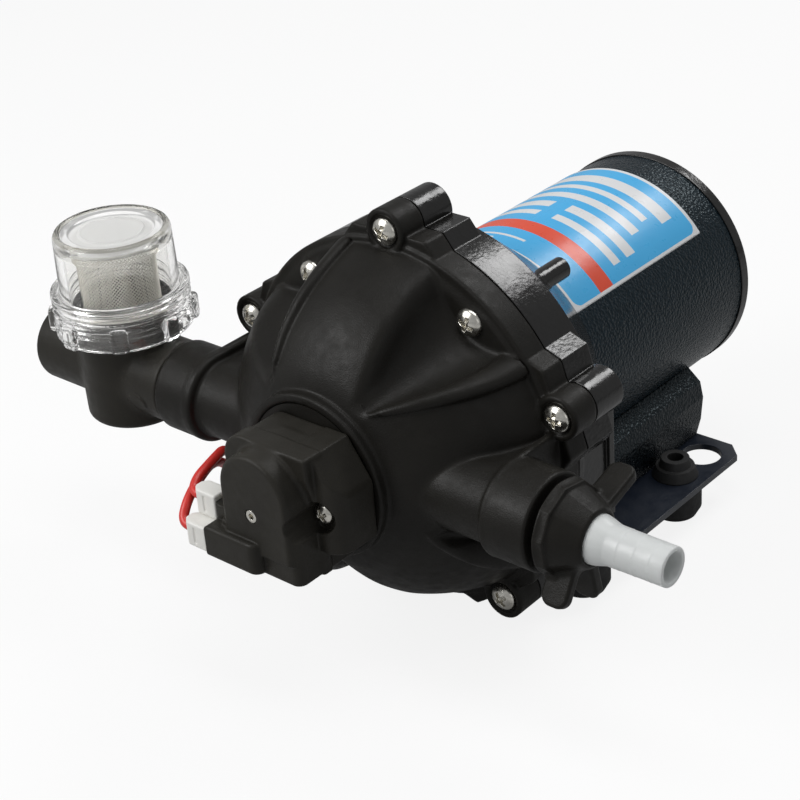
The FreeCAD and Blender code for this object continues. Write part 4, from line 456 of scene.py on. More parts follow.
def clear_plastic():
    """Clear moulded plastic, smoky in the bowl's rim, milky in its lid, with faint flow marks."""
    s = Shader("clear_moulded_plastic")
    x, y, z = s.axes()
    aside = s.math("SUBTRACT", x, CUP_X * MM)
    ahead = s.math("SUBTRACT", y, SEAT_Y + PORT * MM)
    squares = [s.math("MULTIPLY", value, value) for value in (aside, ahead)]
    out = s.math("SQRT", s.math("ADD", *squares))
    high = s.math("GREATER_THAN", z, AXIS_Z + BOWL_RIM_UP * MM)
    rim = s.math("MULTIPLY", high, s.math("GREATER_THAN", out, BOWL_RIM_INSIDE * MM))
    lid = s.math("GREATER_THAN", z, AXIS_Z + BOWL_LID_UP * MM)
    lid = s.math("MULTIPLY", lid, s.math("LESS_THAN", out, BOWL_LID_RADIUS * MM))
    s.colour(s.mix(rim, (0.99, 0.987, 0.975), (0.42, 0.41, 0.36)))
    s.links.new(s.span(lid, 0, 1, 0.96, 0.55), s.body.inputs["Transmission Weight"])
    s.set(IOR=1.36, Roughness=0.02)
    s.bump(s.noise(90, 3), 0.0001, 0.25)
    return s.material


# The material of each slot: its maker, then name, two colours, roughness from and to, and the
# share of light that spreads inside.
MATERIALS = {
    "motor_paint": (
        hammertone, "navy_hammertone", (0.0024, 0.0062, 0.0094), (0.0062, 0.0128, 0.0185), 0.18, 0.3
    ),
    "cradle_paint": (
        hammertone, "grey_hammertone", (0.0018, 0.003, 0.0044), (0.0045, 0.0068, 0.009), 0.2, 0.34
    ),
    "housing_black": (gloss_black,),
    "head_black": (matte_black,),
    "steel": (bright_metal, "ground_steel", (0.5, 0.5, 0.51), (0.62, 0.62, 0.62), 0.25, 0.4),
    "core_iron": (plain_plastic, "dark_iron", (0.05, 0.05, 0.055), (0.09, 0.09, 0.1), 0.5, 0.65),
    "copper": (bright_metal, "copper", (0.72, 0.3, 0.14), (0.85, 0.42, 0.22), 0.3, 0.45),
    "brass": (bright_metal, "tinned_brass", (0.62, 0.55, 0.38), (0.74, 0.68, 0.5), 0.25, 0.4),
    "label_film": (label_film,),
    "white_plastic": (
        plain_plastic, "natural_plastic", (0.7, 0.7, 0.66), (0.78, 0.78, 0.75), 0.4, 0.55
    ),
    "zinc_screws": (bright_metal, "zinc_plate", (0.6, 0.58, 0.53), (0.78, 0.76, 0.7), 0.16, 0.32),
    "rubber": (rubber,),
    "connector_white": (
        plain_plastic, "nylon_white", (0.78, 0.77, 0.73), (0.86, 0.85, 0.81), 0.35, 0.5, 0.2
    ),
    "red_lead": (plain_plastic, "red_insulation", (0.6, 0.025, 0.02), (0.7, 0.04, 0.03), 0.28, 0.4),
    "barb_plastic": (barb_white,),
    "clear_plastic": (clear_plastic,),
    "steel_mesh": (bright_metal, "stainless_wire", (0.8, 0.78, 0.71), (0.9, 0.88, 0.82), 0.3, 0.45),
    "base_paint": (smooth_paint,),
}


def dress_nodes():
    """Every node takes the material of its slot."""
    made = {name: maker(*looks) for name, (maker, *looks) in MATERIALS.items()}
    slots = {p["node"]: p["material_slot"] for p in frame["record"]["subparts"]}
    for name, piece in frame["nodes"].items():
        piece.data.materials.clear()
        piece.data.materials.append(made[slots[name]])
    return made, slots


# Fields of distance, negative inside: millimetres, x and z from the shaft, y from the ear seat


def soft_max(a, b, soft):
    near = np.maximum(soft - np.abs(a - b), 0) / soft
    return np.maximum(a, b) + near * near * (soft / 4)


def soft_min(a, b, soft):
    return -soft_max(-a, -b, soft)


def both(a, b, radius):
    """Where both hold, with a rounded edge between them."""
    a, b = a + radius, b + radius
    return np.minimum(np.maximum(a, b), 0) + np.hypot(np.maximum(a, 0), np.maximum(b, 0)) - radius


def between(value, low, high):
    return np.abs(value - (low + high) / 2) - (high - low) / 2


def rod(across, along, radius, low, high, round_by=0.5):
    return both(across - radius, between(along, low, high), round_by)


def brick(x, y, z, span_x, span_y, span_z, round_by):
    flat = both(between(x, *span_x), between(y, *span_y), round_by)
    return both(flat, between(z, *span_z), round_by)


def fold(x, z, first, count=5):
    """Distance out along, and aside from, the nearest of evenly turned spokes."""
    step = math.tau / count
    turn = np.arctan2(z, x) - math.radians(first)
    turn = turn - step * np.round(turn / step)
    reach = np.hypot(x, z)
    return reach * np.cos(turn), reach * np.sin(turn)


def ramp(value, start, length):
    """Zero at the start, one from a length on, which may go down."""
    return np.clip((value - start) / length, 0, 1)


def join(*fields):
    low = fields[0]
    for field in fields[1:]:
        low = np.minimum(low, field)
    return low


def crossed_points(values):
    """The cells that the surface crosses, their numbers, and the mean of each one's crossings."""
    inside = values < 0
    shape = np.array(values.shape) - 1
    corners = list(np.ndindex(2, 2, 2))
    count = np.zeros(shape, np.int8)
    for i, j, k in corners:
        count += inside[i : i + shape[0], j : j + shape[1], k : k + shape[2]]
    cells = np.argwhere((count > 0) & (count < len(corners)))
    number = np.full(shape, -1, np.int64)
    number[tuple(cells.T)] = np.arange(len(cells))
    total = np.zeros((len(cells), 3))
    hits = np.zeros(len(cells))
    for corner in corners:
        for axis in range(3):
            if corner[axis]:
                continue
            start = cells + corner
            end = start.copy()
            end[:, axis] += 1
            first, last = values[tuple(start.T)], values[tuple(end.T)]
            crossing = (first < 0) != (last < 0)
            share = np.where(crossing, first / np.where(crossing, first - last, 1), 0)
            place = start.astype(float)
            place[:, axis] += share
            total += place * crossing[:, None]
            hits += crossing
    return number, total / hits[:, None]


def draw_onto(field, points, step):
    """Moves points three times down the field's slope to its zero surface, a third of a step at most."""
    reach = step * 0.05
    for _ in range(3):
        slope = np.empty_like(points)
        for axis in range(3):
            ahead, behind = points.copy(), points.copy()
            ahead[:, axis] += reach
            behind[:, axis] -= reach
            slope[:, axis] = (field(*ahead.T) - field(*behind.T)) / (2 * reach)
        size = np.maximum((slope**2).sum(1), 0.1)
        shift = -slope * (field(*points.T) / size)[:, None]
        points += np.clip(shift, -step / 3, step / 3)


def crossed_faces(inside, number):
    """A face between the four cells round every crossed grid edge, turned outwards."""
    faces = []
    for axis in range(3):
        order = (axis, (axis + 1) % 3, (axis + 2) % 3)
        solid = np.transpose(inside, order)
        cell = np.transpose(number, order)
        change = solid[:-1, 1:-1, 1:-1] != solid[1:, 1:-1, 1:-1]
        i, j, k = np.nonzero(change)
        ring = [cell[i, j, k], cell[i, j + 1, k], cell[i, j + 1, k + 1], cell[i, j, k + 1]]
        quads = np.stack(ring, 1)
        back = ~solid[i, j + 1, k + 1]
        quads[back] = quads[back][:, ::-1]
        faces.append(quads)
    return np.concatenate(faces)


def skin(field, low, high, step):
    """Closed mesh of a field's zero surface: one point in every crossed cell, drawn onto it."""
    low = np.array(low, np.float32)
    axes = [np.arange(a, b + step, step, dtype=np.float32) for a, b in zip(low, high)]
    values = field(*np.meshgrid(*axes, indexing="ij", sparse=True)).astype(np.float32)
    number, places = crossed_points(values)
    points = low + step * places
    draw_onto(field, points, step)
    return points, crossed_faces(values < 0, number)


def from_seat(points):
    """Millimetres from the ear seat and the shaft, turned into the frame's metres."""
    return points * MM + np.array([0, SEAT_Y, AXIS_Z])


def new_piece(name, points, faces, body, node):
    """A smooth mesh that stands for a node and takes its slot's material."""
    mesh = bpy.data.meshes.new(name)
    mesh.from_pydata(np.asarray(points).tolist(), [], [list(face) for face in faces])
    mesh.shade_smooth()
    piece = bpy.data.objects.new(name, mesh)
    bpy.context.scene.collection.objects.link(piece)
    mesh.materials.append(materials[slot_of[node]])
    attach(piece, body)
    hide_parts(node)
    return piece


# Pump head

# The dome's outline as radius and y, from its rear edge to the middle of its front.
DOME = [
    (57.6, 9), (57.6, 0), (57, -2), (54.5, -9), (50, -17.5), (43.5, -25.5), (35.5, -32), (26.6, -36),
    (0, -36),
]
# A flute's cone: its point out along and y, its lean, its half angle and its point's radius.
FLUTE_START = (29.0, -37.0)
FLUTE_LEAN = math.radians(38)
FLUTE_SPREAD = math.radians(26.5)
FLUTE_ROUND = 1.6
# The flute beside the outlet's neck draws back, by this much within this angle.
NECK_FLUTE_TURN = math.radians(-18)
NECK_FLUTE_REACH = 0.6
NECK_FLUTE_DRAW = 5.5
# The flange's back, and the flat pad round each ear: its top, half its width and its sides' slope.
HEAD_BACK = 9
PAD_TOP = 60.6
PAD_HALF = 13.5
PAD_SLOPE = 0.784
PAD_SLOPE_LENGTH = 1.271
FRONT_RING = -38.6
# The ports: the neck and hood, their end plate and the collar with its thread.
NECK_RADIUS = 12
COLLAR_RADIUS = 14.4
COLLAR_END = 70.9
THREAD_RADIUS = 10.15
THREAD_PITCH = 1.8
PASSAGE = 8
SCREW_HOLE = 2.1


def dome_field(reach, y):
    field = None
    for (r0, y0), (r1, y1) in zip(DOME, DOME[1:]):
        run = math.hypot(r1 - r0, y1 - y0)
        side = ((reach - r0) * (y0 - y1) + (y - y0) * (r1 - r0)) / run
        field = side if field is None else soft_max(field, side, 3.0)
    return field


def flute_field(out, aside, y):
    """A blunt cone that opens outwards and back, from a point above the dome."""
    lean_cos, lean_sin = math.cos(FLUTE_LEAN), math.sin(FLUTE_LEAN)
    inset = FLUTE_ROUND / math.sin(FLUTE_SPREAD)
    u = out - FLUTE_START[0] - inset * lean_cos
    w = y - FLUTE_START[1] - inset * lean_sin
    along = u * lean_cos + w * lean_sin
    across = np.hypot(w * lean_cos - u * lean_sin, aside)
    side = across * math.cos(FLUTE_SPREAD) - along * math.sin(FLUTE_SPREAD)
    past = along * math.cos(FLUTE_SPREAD) + across * math.sin(FLUTE_SPREAD)
    return np.where(past > 0, side, np.hypot(along, across)) - FLUTE_ROUND


def lobes(x, y, z):
    """The dome with its five flutes: a soft edge on one side of each, a raised bead on the other."""
    reach = np.hypot(x, z)
    out, aside = fold(x, z, VALLEYS[0])
    dome = dome_field(reach, y)
    flute = flute_field(out, aside, y)
    off_neck = np.abs(np.arctan2(z, x) - NECK_FLUTE_TURN) / NECK_FLUTE_REACH
    flute = flute + NECK_FLUTE_DRAW * np.minimum(np.maximum(0, 1 - off_neck) * 2, 1)
    hollow = both(flute, y + 1, 1.2)
    bead_side = np.clip(0.5 - aside / 6, 0, 1)
    body = soft_max(dome, -hollow, 1.2 + 3.0 * (1 - bead_side))
    grown = ramp(out, 33, 22)
    width = (1.2 * ramp(out, 29, 5) + 2.6 * grown) * ramp(out, 60, -3)
    bead = np.hypot(dome + 0.1 + 1.5 * grown, flute - 0.6 - 2.3 * grown) - width * bead_side
    bead = np.maximum(bead, y + 0.8)
    return soft_min(body, bead, 0.5)


def port_parts(x, y, z):
    """Neck, flat hood, U shaped end plate and round collar of both ports."""
    side = np.abs(x)
    across = np.hypot(y - PORT, z)
    hood_section = np.where(y < PORT, across, np.abs(z))
    in_flange = y - HEAD_BACK + 0.1
    neck = rod(across, side, NECK_RADIUS, 24, 56.5)
    hood = np.maximum(both(hood_section - NECK_RADIUS, between(side, 33, 57), 0.8), in_flange)
    plate_end = np.where(x > 0, 57.8, 59.4)
    plate = both(hood_section - COLLAR_RADIUS, np.maximum(55.2 - side, side - plate_end), 1.3)
    plate = np.maximum(plate, in_flange)
    collar = rod(across, side, COLLAR_RADIUS, 56, COLLAR_END, 0.7)
    return soft_min(soft_min(neck, hood, 1.0), soft_min(plate, collar, 0.6), 1.4)


def head_cavities(x, y, z):
    """The diaphragm's seat, the valve chambers, both passages and the screws' holes."""
    reach = np.hypot(x, z)
    across = np.hypot(y - PORT, z)
    ear_out, ear_side = fold(x, z, EARS[0])
    at_ear = np.hypot(ear_out - EAR_CIRCLE, ear_side)
    out, aside = fold(x, z, VALLEYS[0])
    at_valley = np.hypot(out - VALLEY_CIRCLE, aside)
    return join(
        rod(reach, y, 55.2, 1.1, 20, 0.1),
        rod(reach, y, 13, -28, 5, 0.3),
        rod(reach, y, 2.5, -40, -20, 0.1),
        np.maximum(np.abs(reach - 33.5) - 6.5, between(y, -10, 5)),
        np.maximum(np.abs(reach - 43.7) - 1.1, between(y, -0.9, 5)),
        rod(across, x, PASSAGE, 7.8, 80, 0.1),
        rod(across, x, PASSAGE, -80, -28, 0.1),
        rod(across, x, 11.1, -80, -62, 0.1),
        rod(np.hypot(x + 33.5, z), y, 4.4, PORT, -9, 0.1),
        rod(at_ear, y, SCREW_HOLE, -2, 12, 0.1),
        rod(at_ear, y, 5.0, -14, 0, 0.1),
        rod(at_valley, y, SCREW_HOLE, -3, 12, 0.1),
        rod(at_valley, y, 4.9, -45, VALLEY_SEAT, 0.4),
        rod(np.hypot(np.abs(x) - SWITCH_LUG, z), y, 1.5, -40, -31.5, 0.1),
    )


def head_field(x, y, z):
    """The lobes on their flange with ears, pads and front ring, both ports and all cavities."""
    reach = np.hypot(x, z)
    ear_out, ear_side = fold(x, z, EARS[0])
    at_ear = np.hypot(ear_out - EAR_CIRCLE, ear_side)
    pad_side = np.abs(ear_side) - PAD_HALF - (PAD_TOP - ear_out) * PAD_SLOPE
    pad_plan = both(ear_out - PAD_TOP, pad_side / PAD_SLOPE_LENGTH, 0.6)
    pad = both(pad_plan, between(y, 0.6, HEAD_BACK), 0.5)
    flange = rod(reach, y, 58.5, -0.2, HEAD_BACK, 0.7)
    ears = rod(at_ear, y, 6.9, -0.9, HEAD_BACK, 0.6)
    ring = np.maximum(rod(reach, y, 25.6, FRONT_RING, -30, 0.6), 22.8 - reach)
    ring = np.maximum(ring, FRONT_RING - y)
    body = soft_min(lobes(x, y, z), join(flange, pad), 0.8)
    body = soft_min(body, port_parts(x, y, z), 0.9)
    body = soft_min(body, ears, 0.8)
    body = soft_min(body, ring, 0.7)
    thread = np.hypot(y - PORT, z) - THREAD_RADIUS - 0.25 * np.cos(x * math.tau / THREAD_PITCH)
    body = np.minimum(body, np.maximum(thread, between(x, 60, 77)))
    return np.maximum(body, -head_cavities(x, y, z))


# Pressure switch on the head

SWITCH_TOP = 19.5
SWITCH_UNDERSIDE = -19.3


def switch_solid(x, y, z):
    """The block with its stepped front, the arch, the low box, the cover and both lugs."""
    side = np.abs(x)
    above = z - SWITCH_TOP
    section = np.maximum(both(-x - 15.7, above, 8.0), both(x - 16, above, 1.2))
    section = np.maximum(section, SWITCH_UNDERSIDE - z)
    stepped = section + 0.7 * ramp(y, -50.4, 0.5)
    front = -57 + 3 * ramp(z, 13, -10) * ramp(x, 5, 1)
    block = both(stepped, between(y, front, SWITCH_REAR), 0.9)
    arch_section = np.where(z > 6.5, np.hypot(x - 1, z - 6.5), np.abs(x - 1)) - 12.5
    arch = np.maximum(both(arch_section, between(y, -64, -45), 1.4), -12 - z)
    low_plan = np.maximum(both(x - 15.3, -62.7 - y, 3.0), both(-x - 14.5, -62.7 - y, 1.5))
    low_top = np.where(x > 0, -4.3, -6.4)
    low = np.maximum(both(low_plan, between(z, SWITCH_UNDERSIDE, low_top), 0.9), y - SWITCH_REAR)
    cover_plan = np.maximum(both(x - 2.4, -66.2 - y, 3.4), -18.2 - x)
    cover = np.maximum(both(cover_plan, between(z, -18.6, -8.4), 1.2), y + 58)
    upper = brick(x, y, z, (-18.2, -12), (-60.8, -53.6), (-9.6, -1.6), 0.8)
    tower_plan = np.maximum(both(side - 23.4, -54 - y, 6.0), y - SWITCH_REAR)
    tower_top = np.where(x > 0, (side - 16) * 0.833 + (z - 18.4) * 0.551, z - 4)
    tower = both(np.maximum(tower_plan, -11 - z), np.maximum(tower_top, z - 19.0), 0.8)
    tower = np.maximum(tower, 8 - side)
    pocket = rod(np.hypot(side - SWITCH_LUG, z), y, 5.0, -80, SWITCH_LUG_SEAT, 0.3)
    tower = soft_min(soft_min(block, tower, 0.8), low, 0.4)
    body = soft_min(soft_max(tower, -pocket, 0.6), arch, 1.6)
    return soft_min(body, join(cover, upper), 0.5)


def switch_field(x, y, z):
    """The housing with its screw holes, the adjuster's bore and the terminals' chamber."""
    reach = np.hypot(x, z)
    at_lug = np.hypot(np.abs(x) - SWITCH_LUG, z)
    hollow = join(
        rod(at_lug, y, 3.8, -80, SWITCH_LUG_SEAT, 0.1),
        rod(at_lug, y, 1.6, -54, -30, 0.1),
        rod(reach, y, 2.05, -80, -57.2, 0.1),
        rod(reach, y, 3.8, -57.2, -30, 0.1),
        rod(reach, y, 7.2, -41.8, -30, 0.1),
        brick(x, y, z, (-13.1, -4.9), (-61.1, -49.9), (-17.1, -4.9), 0.1),
        brick(x, y, z, (-25, -13), (-60.9, -59.9), (-16.1, -11.1), 0.1),
        brick(x, y, z, (-25, -13), (-57.7, -56.7), (-8.1, -3.1), 0.1),
    )
    return np.maximum(switch_solid(x, y, z), -hollow)


# Strainer body, wing nut and lock ring

INLET_END = -128.5
NUT_BACK = 73.2
# Each wing's turn in degrees and how far out it reaches.
NUT_WINGS = [(17, 25.5), (240, 21.5), (283, 24.0)]
RING_LOW = 14.5
RING_HIGH = 28.6


def strainer_field(x, y, z):
    """An upright cup with the inlet tube, the stub and spigot to the head, and a threaded neck."""
    out = np.hypot(x - CUP_X, y - PORT)
    across = np.hypot(y - PORT, z)
    cup = rod(out, z, 16.2 + 0.012 * z, -16.1, 14, 2.6)
    neck = rod(out, z, 17.9 - 0.25 * (1 + np.cos(z * math.tau / 1.6)), 12.8, 21, 0.5)
    stub = rod(across, x, 13.37, CUP_X, -71.7, 0.8)
    spigot = rod(across, x, 11, CUP_X, -63, 0.5)
    tube = rod(across, x, 13.2, INLET_END, CUP_X, 0.8)
    body = soft_min(cup, tube, 1.2)
    body = soft_min(body, stub, 1.6)
    dot = np.hypot((x + 81.0) / 1.35, z + 3.5) - 3.0
    dot = np.maximum(dot, np.maximum(across - 13.75, y - PORT))
    body = soft_min(body, dot, 0.3)
    body = join(body, neck, spigot)
    hollow = join(
        rod(out, z, 13.8, -13.7, 30, 0.5),
        rod(across, x, PASSAGE, CUP_X, -50, 0.1),
        rod(across, x, PASSAGE, -120, CUP_X, 0.1),
        rod(across, x, 9.5, -140, -116.5, 0.1),
        rod(across, x, 10, -116.5, -115.5, 0.1),
        np.maximum(np.abs(across - 10.3) - 1.7, between(x, -67.8, -65.2)),
    )
    return np.maximum(body, -hollow)


def nut_field(x, y, z):
    """A nut with a facetted rim, a cone and three wings on the outlet's collar."""
    y = y - PORT
    across = np.hypot(y, z)
    out, _ = fold(y, z, 8, 10)
    rim = both(out - 13.1, between(x, NUT_BACK, 76.6), 0.5)
    slope = (0.35 * out + 0.65 * across - 12.3) * 0.903 + (x - 76.6) * 0.43
    cone = soft_max(soft_max(slope, x - 85.1, 0.8), NUT_BACK - x, 0.5)
    body = soft_min(rim, cone, 0.4)
    for degrees, reach in NUT_WINGS:
        turn = math.radians(degrees)
        far = y * math.cos(turn) + z * math.sin(turn)
        aside = -y * math.sin(turn) + z * math.cos(turn)
        flat = both(between(x, 73.5, 81.9), far - reach, 3.2)
        wing = np.maximum(both(flat, np.abs(aside) - 1.75, 0.9), 6 - far)
        body = soft_min(body, wing, 1.8)
    hollow = join(
        rod(across, x, 10.5, 70, 79.3, 0.1),
        rod(across, x, 10.3, 70, 79.4, 0.1),
        rod(across, x, 7.2, 70, 90, 0.1),
    )
    return np.maximum(body, -hollow)


def lock_ring_field(x, y, z):
    """A clear ring with thread lines and eight lugs."""
    x, y = x - CUP_X, y - PORT
    out = np.hypot(x, y)
    ridges = ramp(z, 18.3, 0.6) * ramp(z, 27.2, -0.6)
    turns = (z - 18.6) / 1.7
    wave = 0.95 * ridges * np.abs(turns - np.round(turns)) * 2
    band = both(out - 21.9 + wave, between(z, RING_LOW, RING_HIGH), 0.7)
    far, aside = fold(x, y, -1, 8)
    lug = both(both(far - 23.6, np.abs(aside) - 2.8, 1.4), between(z, RING_LOW, 22.5), 1.6)
    lug = np.maximum(lug, 20 - far)
    body = soft_min(band, lug, 0.5)
    hollow = join(
        rod(out, z, 18.9, 10, 25, 0.1),
        rod(out, z, 20.1, 22.4, 26.9, 0.3),
        rod(out, z, 19.3, 20, 40, 0.1),
    )
    return np.maximum(body, -hollow)


# Screws: head's radius and height, shank's radius and length

EAR_SCREW = (4.3, 2.6, 1.95, 19.0)
VALLEY_SCREW = (4.3, 2.6, 1.95, 14.0)
SWITCH_SCREW = (3.3, 2.0, 1.45, 19.3)
SCREW_STEP = 0.17
SCREW_ROOM = 0.6
# The first recess's turn and the next ones' further turns, in radians.
SCREW_TURN = 0.4
SCREW_TURN_STEP = 0.7


def pan_screw_field(head, height, shank, length):
    """A pan head cross recess screw: z out of the head, its seat at zero."""

    def field(x, y, z):
        out = np.hypot(x, y)
        swell = head * 1.35
        dome = np.hypot(out, z - height + swell) - swell
        top = both(out - head, dome, 0.5)
        top = np.maximum(top, -z)
        arm = np.minimum(np.abs(x), np.abs(y))
        reach = np.maximum(np.abs(x), np.abs(y))
        narrow = 0.155 * head + 0.06 * (z - height)
        cross = np.maximum(arm - narrow, reach - 0.6 * head - 0.3 * (z - height))
        funnel = out - 0.27 * head - 0.2 * (z - height)
        recess = np.maximum(np.minimum(cross, funnel), height - 1.9 - z)
        shaft = rod(out, z, shank, -length, 0.5, 0.3)
        return np.minimum(np.maximum(top, -recess), shaft)

    return field


def screw_set(name, node, places, sizes, seat):
    """Equal screws that face the front, each with its recess turned differently."""
    head, height, _, length = sizes
    low = (-head - SCREW_ROOM, -head - SCREW_ROOM, -length - SCREW_ROOM)
    high = (head + SCREW_ROOM, head + SCREW_ROOM, height + SCREW_ROOM)
    points, faces = skin(pan_screw_field(*sizes), low, high, SCREW_STEP)
    screws = []
    for index, (x, z) in enumerate(places):
        turn = SCREW_TURN + SCREW_TURN_STEP * index
        across = points[:, 0] * math.cos(turn) - points[:, 1] * math.sin(turn)
        up = points[:, 0] * math.sin(turn) + points[:, 1] * math.cos(turn)
        screws.append((np.stack([x - across, seat - points[:, 2], z + up], 1), faces))
    points, faces = put_together(screws)
    new_piece(name, from_seat(points), faces, "pump", node)


# Turned pieces and gauze


def lathe(profile, count, closed=False):
    """Points and faces of a profile of (radius, height) turned about its own upright axis."""
    profile = np.array(profile, float)
    turns = np.arange(count) * math.tau / count
    spread = profile[:, :1]
    x, y = spread * np.cos(turns), spread * np.sin(turns)
    points = np.stack([x, y, np.repeat(profile[:, 1:], count, 1)], -1).reshape(-1, 3)
    rows = np.arange(len(profile) if closed else len(profile) - 1)[:, None] * count
    here = np.arange(count)[None, :]
    ahead = (here + 1) % count
    above = (rows + count) % len(points)
    faces = np.stack([rows + here, rows + ahead, above + ahead, above + here], -1).reshape(-1, 4)
    return points, faces


def put_together(parts):
    """Points and faces of several meshes as one."""
    points, faces, start = [], [], 0
    for some_points, some_faces in parts:
        points.append(some_points)
        faces.append(some_faces + start)
        start += len(some_points)
    return np.concatenate(points), np.concatenate(faces)


def close_mesh(piece):
    """Points that meet on the axis become one, and all faces look outwards."""
    mesh = bmesh.new()
    mesh.from_mesh(piece.data)
    bmesh.ops.remove_doubles(mesh, verts=mesh.verts, dist=1e-6)
    bmesh.ops.recalc_face_normals(mesh, faces=mesh.faces)
    mesh.to_mesh(piece.data)
    mesh.free()


SOFT_STEPS = 3


def soften(profile, radius, closed=False):
    """A profile with each corner rounded, by less where its sides are short."""
    profile = [np.array(p, float) for p in profile]
    result = []
    last = len(profile) - 1
    for i, corner in enumerate(profile):
        if not closed and i in (0, last):
            result.append(corner)
            continue
        before, after = profile[i - 1] - corner, profile[(i + 1) % len(profile)] - corner
        reach = min(radius, np.linalg.norm(before) * 0.45, np.linalg.norm(after) * 0.45)
        start = corner + before / np.linalg.norm(before) * reach
        end = corner + after / np.linalg.norm(after) * reach
        for step in range(SOFT_STEPS + 1):
            share = step / SOFT_STEPS
            left = 1 - share
            result.append(left**2 * start + 2 * share * left * corner + share**2 * end)
    return result


def on_strainer(points):
    return from_seat(points + np.array([CUP_X, PORT, 0]))


# The bowl's outline as radius and height, from the middle of its inside to that of its lid.
BOWL = [
    (0, 44.2), (13.4, 44.2), (16, 41.8), (16, 23.5), (19.95, 23.5), (19.95, 26.7), (18.9, 26.8),
    (18.4, 46.3), (17.7, 47.5), (16.9, 47.8), (16.3, 47.5), (16.0, 46.9), (13.7, 46.9), (13.2, 46.4),
    (12.6, 46.2), (10.5, 46.2), (9.9, 46.7), (9.3, 46.6), (0, 46.6),
]


def make_bowl():
    points, faces = lathe(soften(BOWL, 0.45), 144)
    close_mesh(new_piece("clear_bowl", on_strainer(points), faces, "bowl", "strainer_bowl"))


GAUZE_RADIUS = 12.25
GAUZE_LOW = -11.3
GAUZE_HIGH = 43.3
GAUZE_WIRES = 64
GAUZE_STEPS = 40
GAUZE_WIRE = 0.14
GAUZE_GAP = 0.1


def wire_tube(middle, along, out, half, sides):
    """A closed round wire of that many sides along a row of points."""
    across = np.cross(out, along)
    turns = [side * math.tau / sides for side in range(sides)]
    corners = [middle + half * (math.cos(a) * out + math.sin(a) * across) for a in turns]
    points = np.stack(corners, 1).reshape(-1, 3)
    rows = (np.arange(len(middle) - 1) * sides)[:, None]
    k = np.arange(sides)[None, :]
    n = (k + 1) % sides
    ring = rows + sides
    faces = np.stack([rows + k, rows + n, ring + n, ring + k], -1).reshape(-1, 4).tolist()
    last = (len(middle) - 1) * sides
    return points, faces + [list(range(sides))[::-1], list(range(last, last + sides))]


def make_gauze():
    """Two families of slanting wires round a tube."""
    rise = np.linspace(GAUZE_LOW, GAUZE_HIGH, GAUZE_STEPS)
    level = np.ones(GAUZE_STEPS)
    parts = []
    for side in (-1, 1):
        radius = GAUZE_RADIUS + side * GAUZE_GAP
        for wire in range(GAUZE_WIRES):
            turn = wire * math.tau / GAUZE_WIRES + side * (rise - GAUZE_LOW) / GAUZE_RADIUS
            out = np.stack([np.cos(turn), np.sin(turn), 0 * turn], 1)
            along = np.stack([-np.sin(turn) * side, np.cos(turn) * side, level], 1) / math.sqrt(2)
            middle = out * radius + np.stack([0 * rise, 0 * rise, rise], 1)
            points, faces = wire_tube(middle, along, out, GAUZE_WIRE, 4)
            parts.append((points, np.array(faces)))
    points, faces = put_together(parts)
    close_mesh(new_piece("woven_gauze", on_strainer(points), faces, "bowl", "filter_mesh"))


def make_gauze_ends():
    foot = [(10.9, -13.7), (12.95, -13.7), (12.95, -11.3), (10.9, -11.3)]
    crown = [(0, 43.1), (12.4, 43.1), (12.7, 43.3), (12.7, 43.8), (12.4, 44.0), (0, 44.0)]
    points, faces = put_together([lathe(foot, 96, True), lathe(crown, 96)])
    close_mesh(new_piece("gauze_ends", on_strainer(points), faces, "bowl", "mesh_frame"))


COIL_START = -55.4
COIL_END = -40.3
COIL_RADIUS = 3.15
COIL_WIRE = 0.43
COIL_TURNS = 7
COIL_POINTS = 36
COIL_DEAD_TURNS = 0.8


def make_coil():
    """The switch's spring, which the plunger presses towards its seat."""
    turn = np.linspace(0, COIL_TURNS * math.tau, COIL_TURNS * COIL_POINTS)
    out = np.stack([np.cos(turn), 0 * turn, np.sin(turn)], 1)
    share = ramp(turn / math.tau, COIL_DEAD_TURNS, COIL_TURNS - 2 * COIL_DEAD_TURNS)
    low, high = COIL_START + COIL_WIRE, COIL_END - COIL_WIRE
    rise = low + (high - low) * share
    middle = COIL_RADIUS * out + np.stack([0 * rise, rise, 0 * rise], 1)
    along = np.gradient(middle, axis=0)
    along /= np.linalg.norm(along, axis=1)[:, None]
    points, faces = wire_tube(middle, along, out, COIL_WIRE, 10)
    coil = new_piece("pressure_coil", from_seat(points), faces, "pump", "pressure_spring")
    close_mesh(coil)
    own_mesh(coil)


# The barb's outline as radius and x, once round its wall.
BARB = [
    (4.3, 78.05), (10.15, 78.05), (10.15, 79.2), (7.1, 83.2), (7.1, 85.3), (6.7, 87.2), (5.85, 90),
    (5.78, 93.5), (5.84, 93.9), (5.74, 94.3), (5.72, 98.5), (5.79, 98.9), (5.69, 99.3), (5.68, 103.5),
    (5.75, 103.9), (5.66, 104.3), (5.66, 108.4), (4.3, 108.4),
]


def make_barb():
    points, faces = lathe(soften(BARB, 0.5, True), 96, True)
    sideways = np.stack([points[:, 2], points[:, 0] + PORT, points[:, 1]], 1)
    close_mesh(new_piece("hose_barb", from_seat(sideways), faces, "outlet", "outlet_barb"))


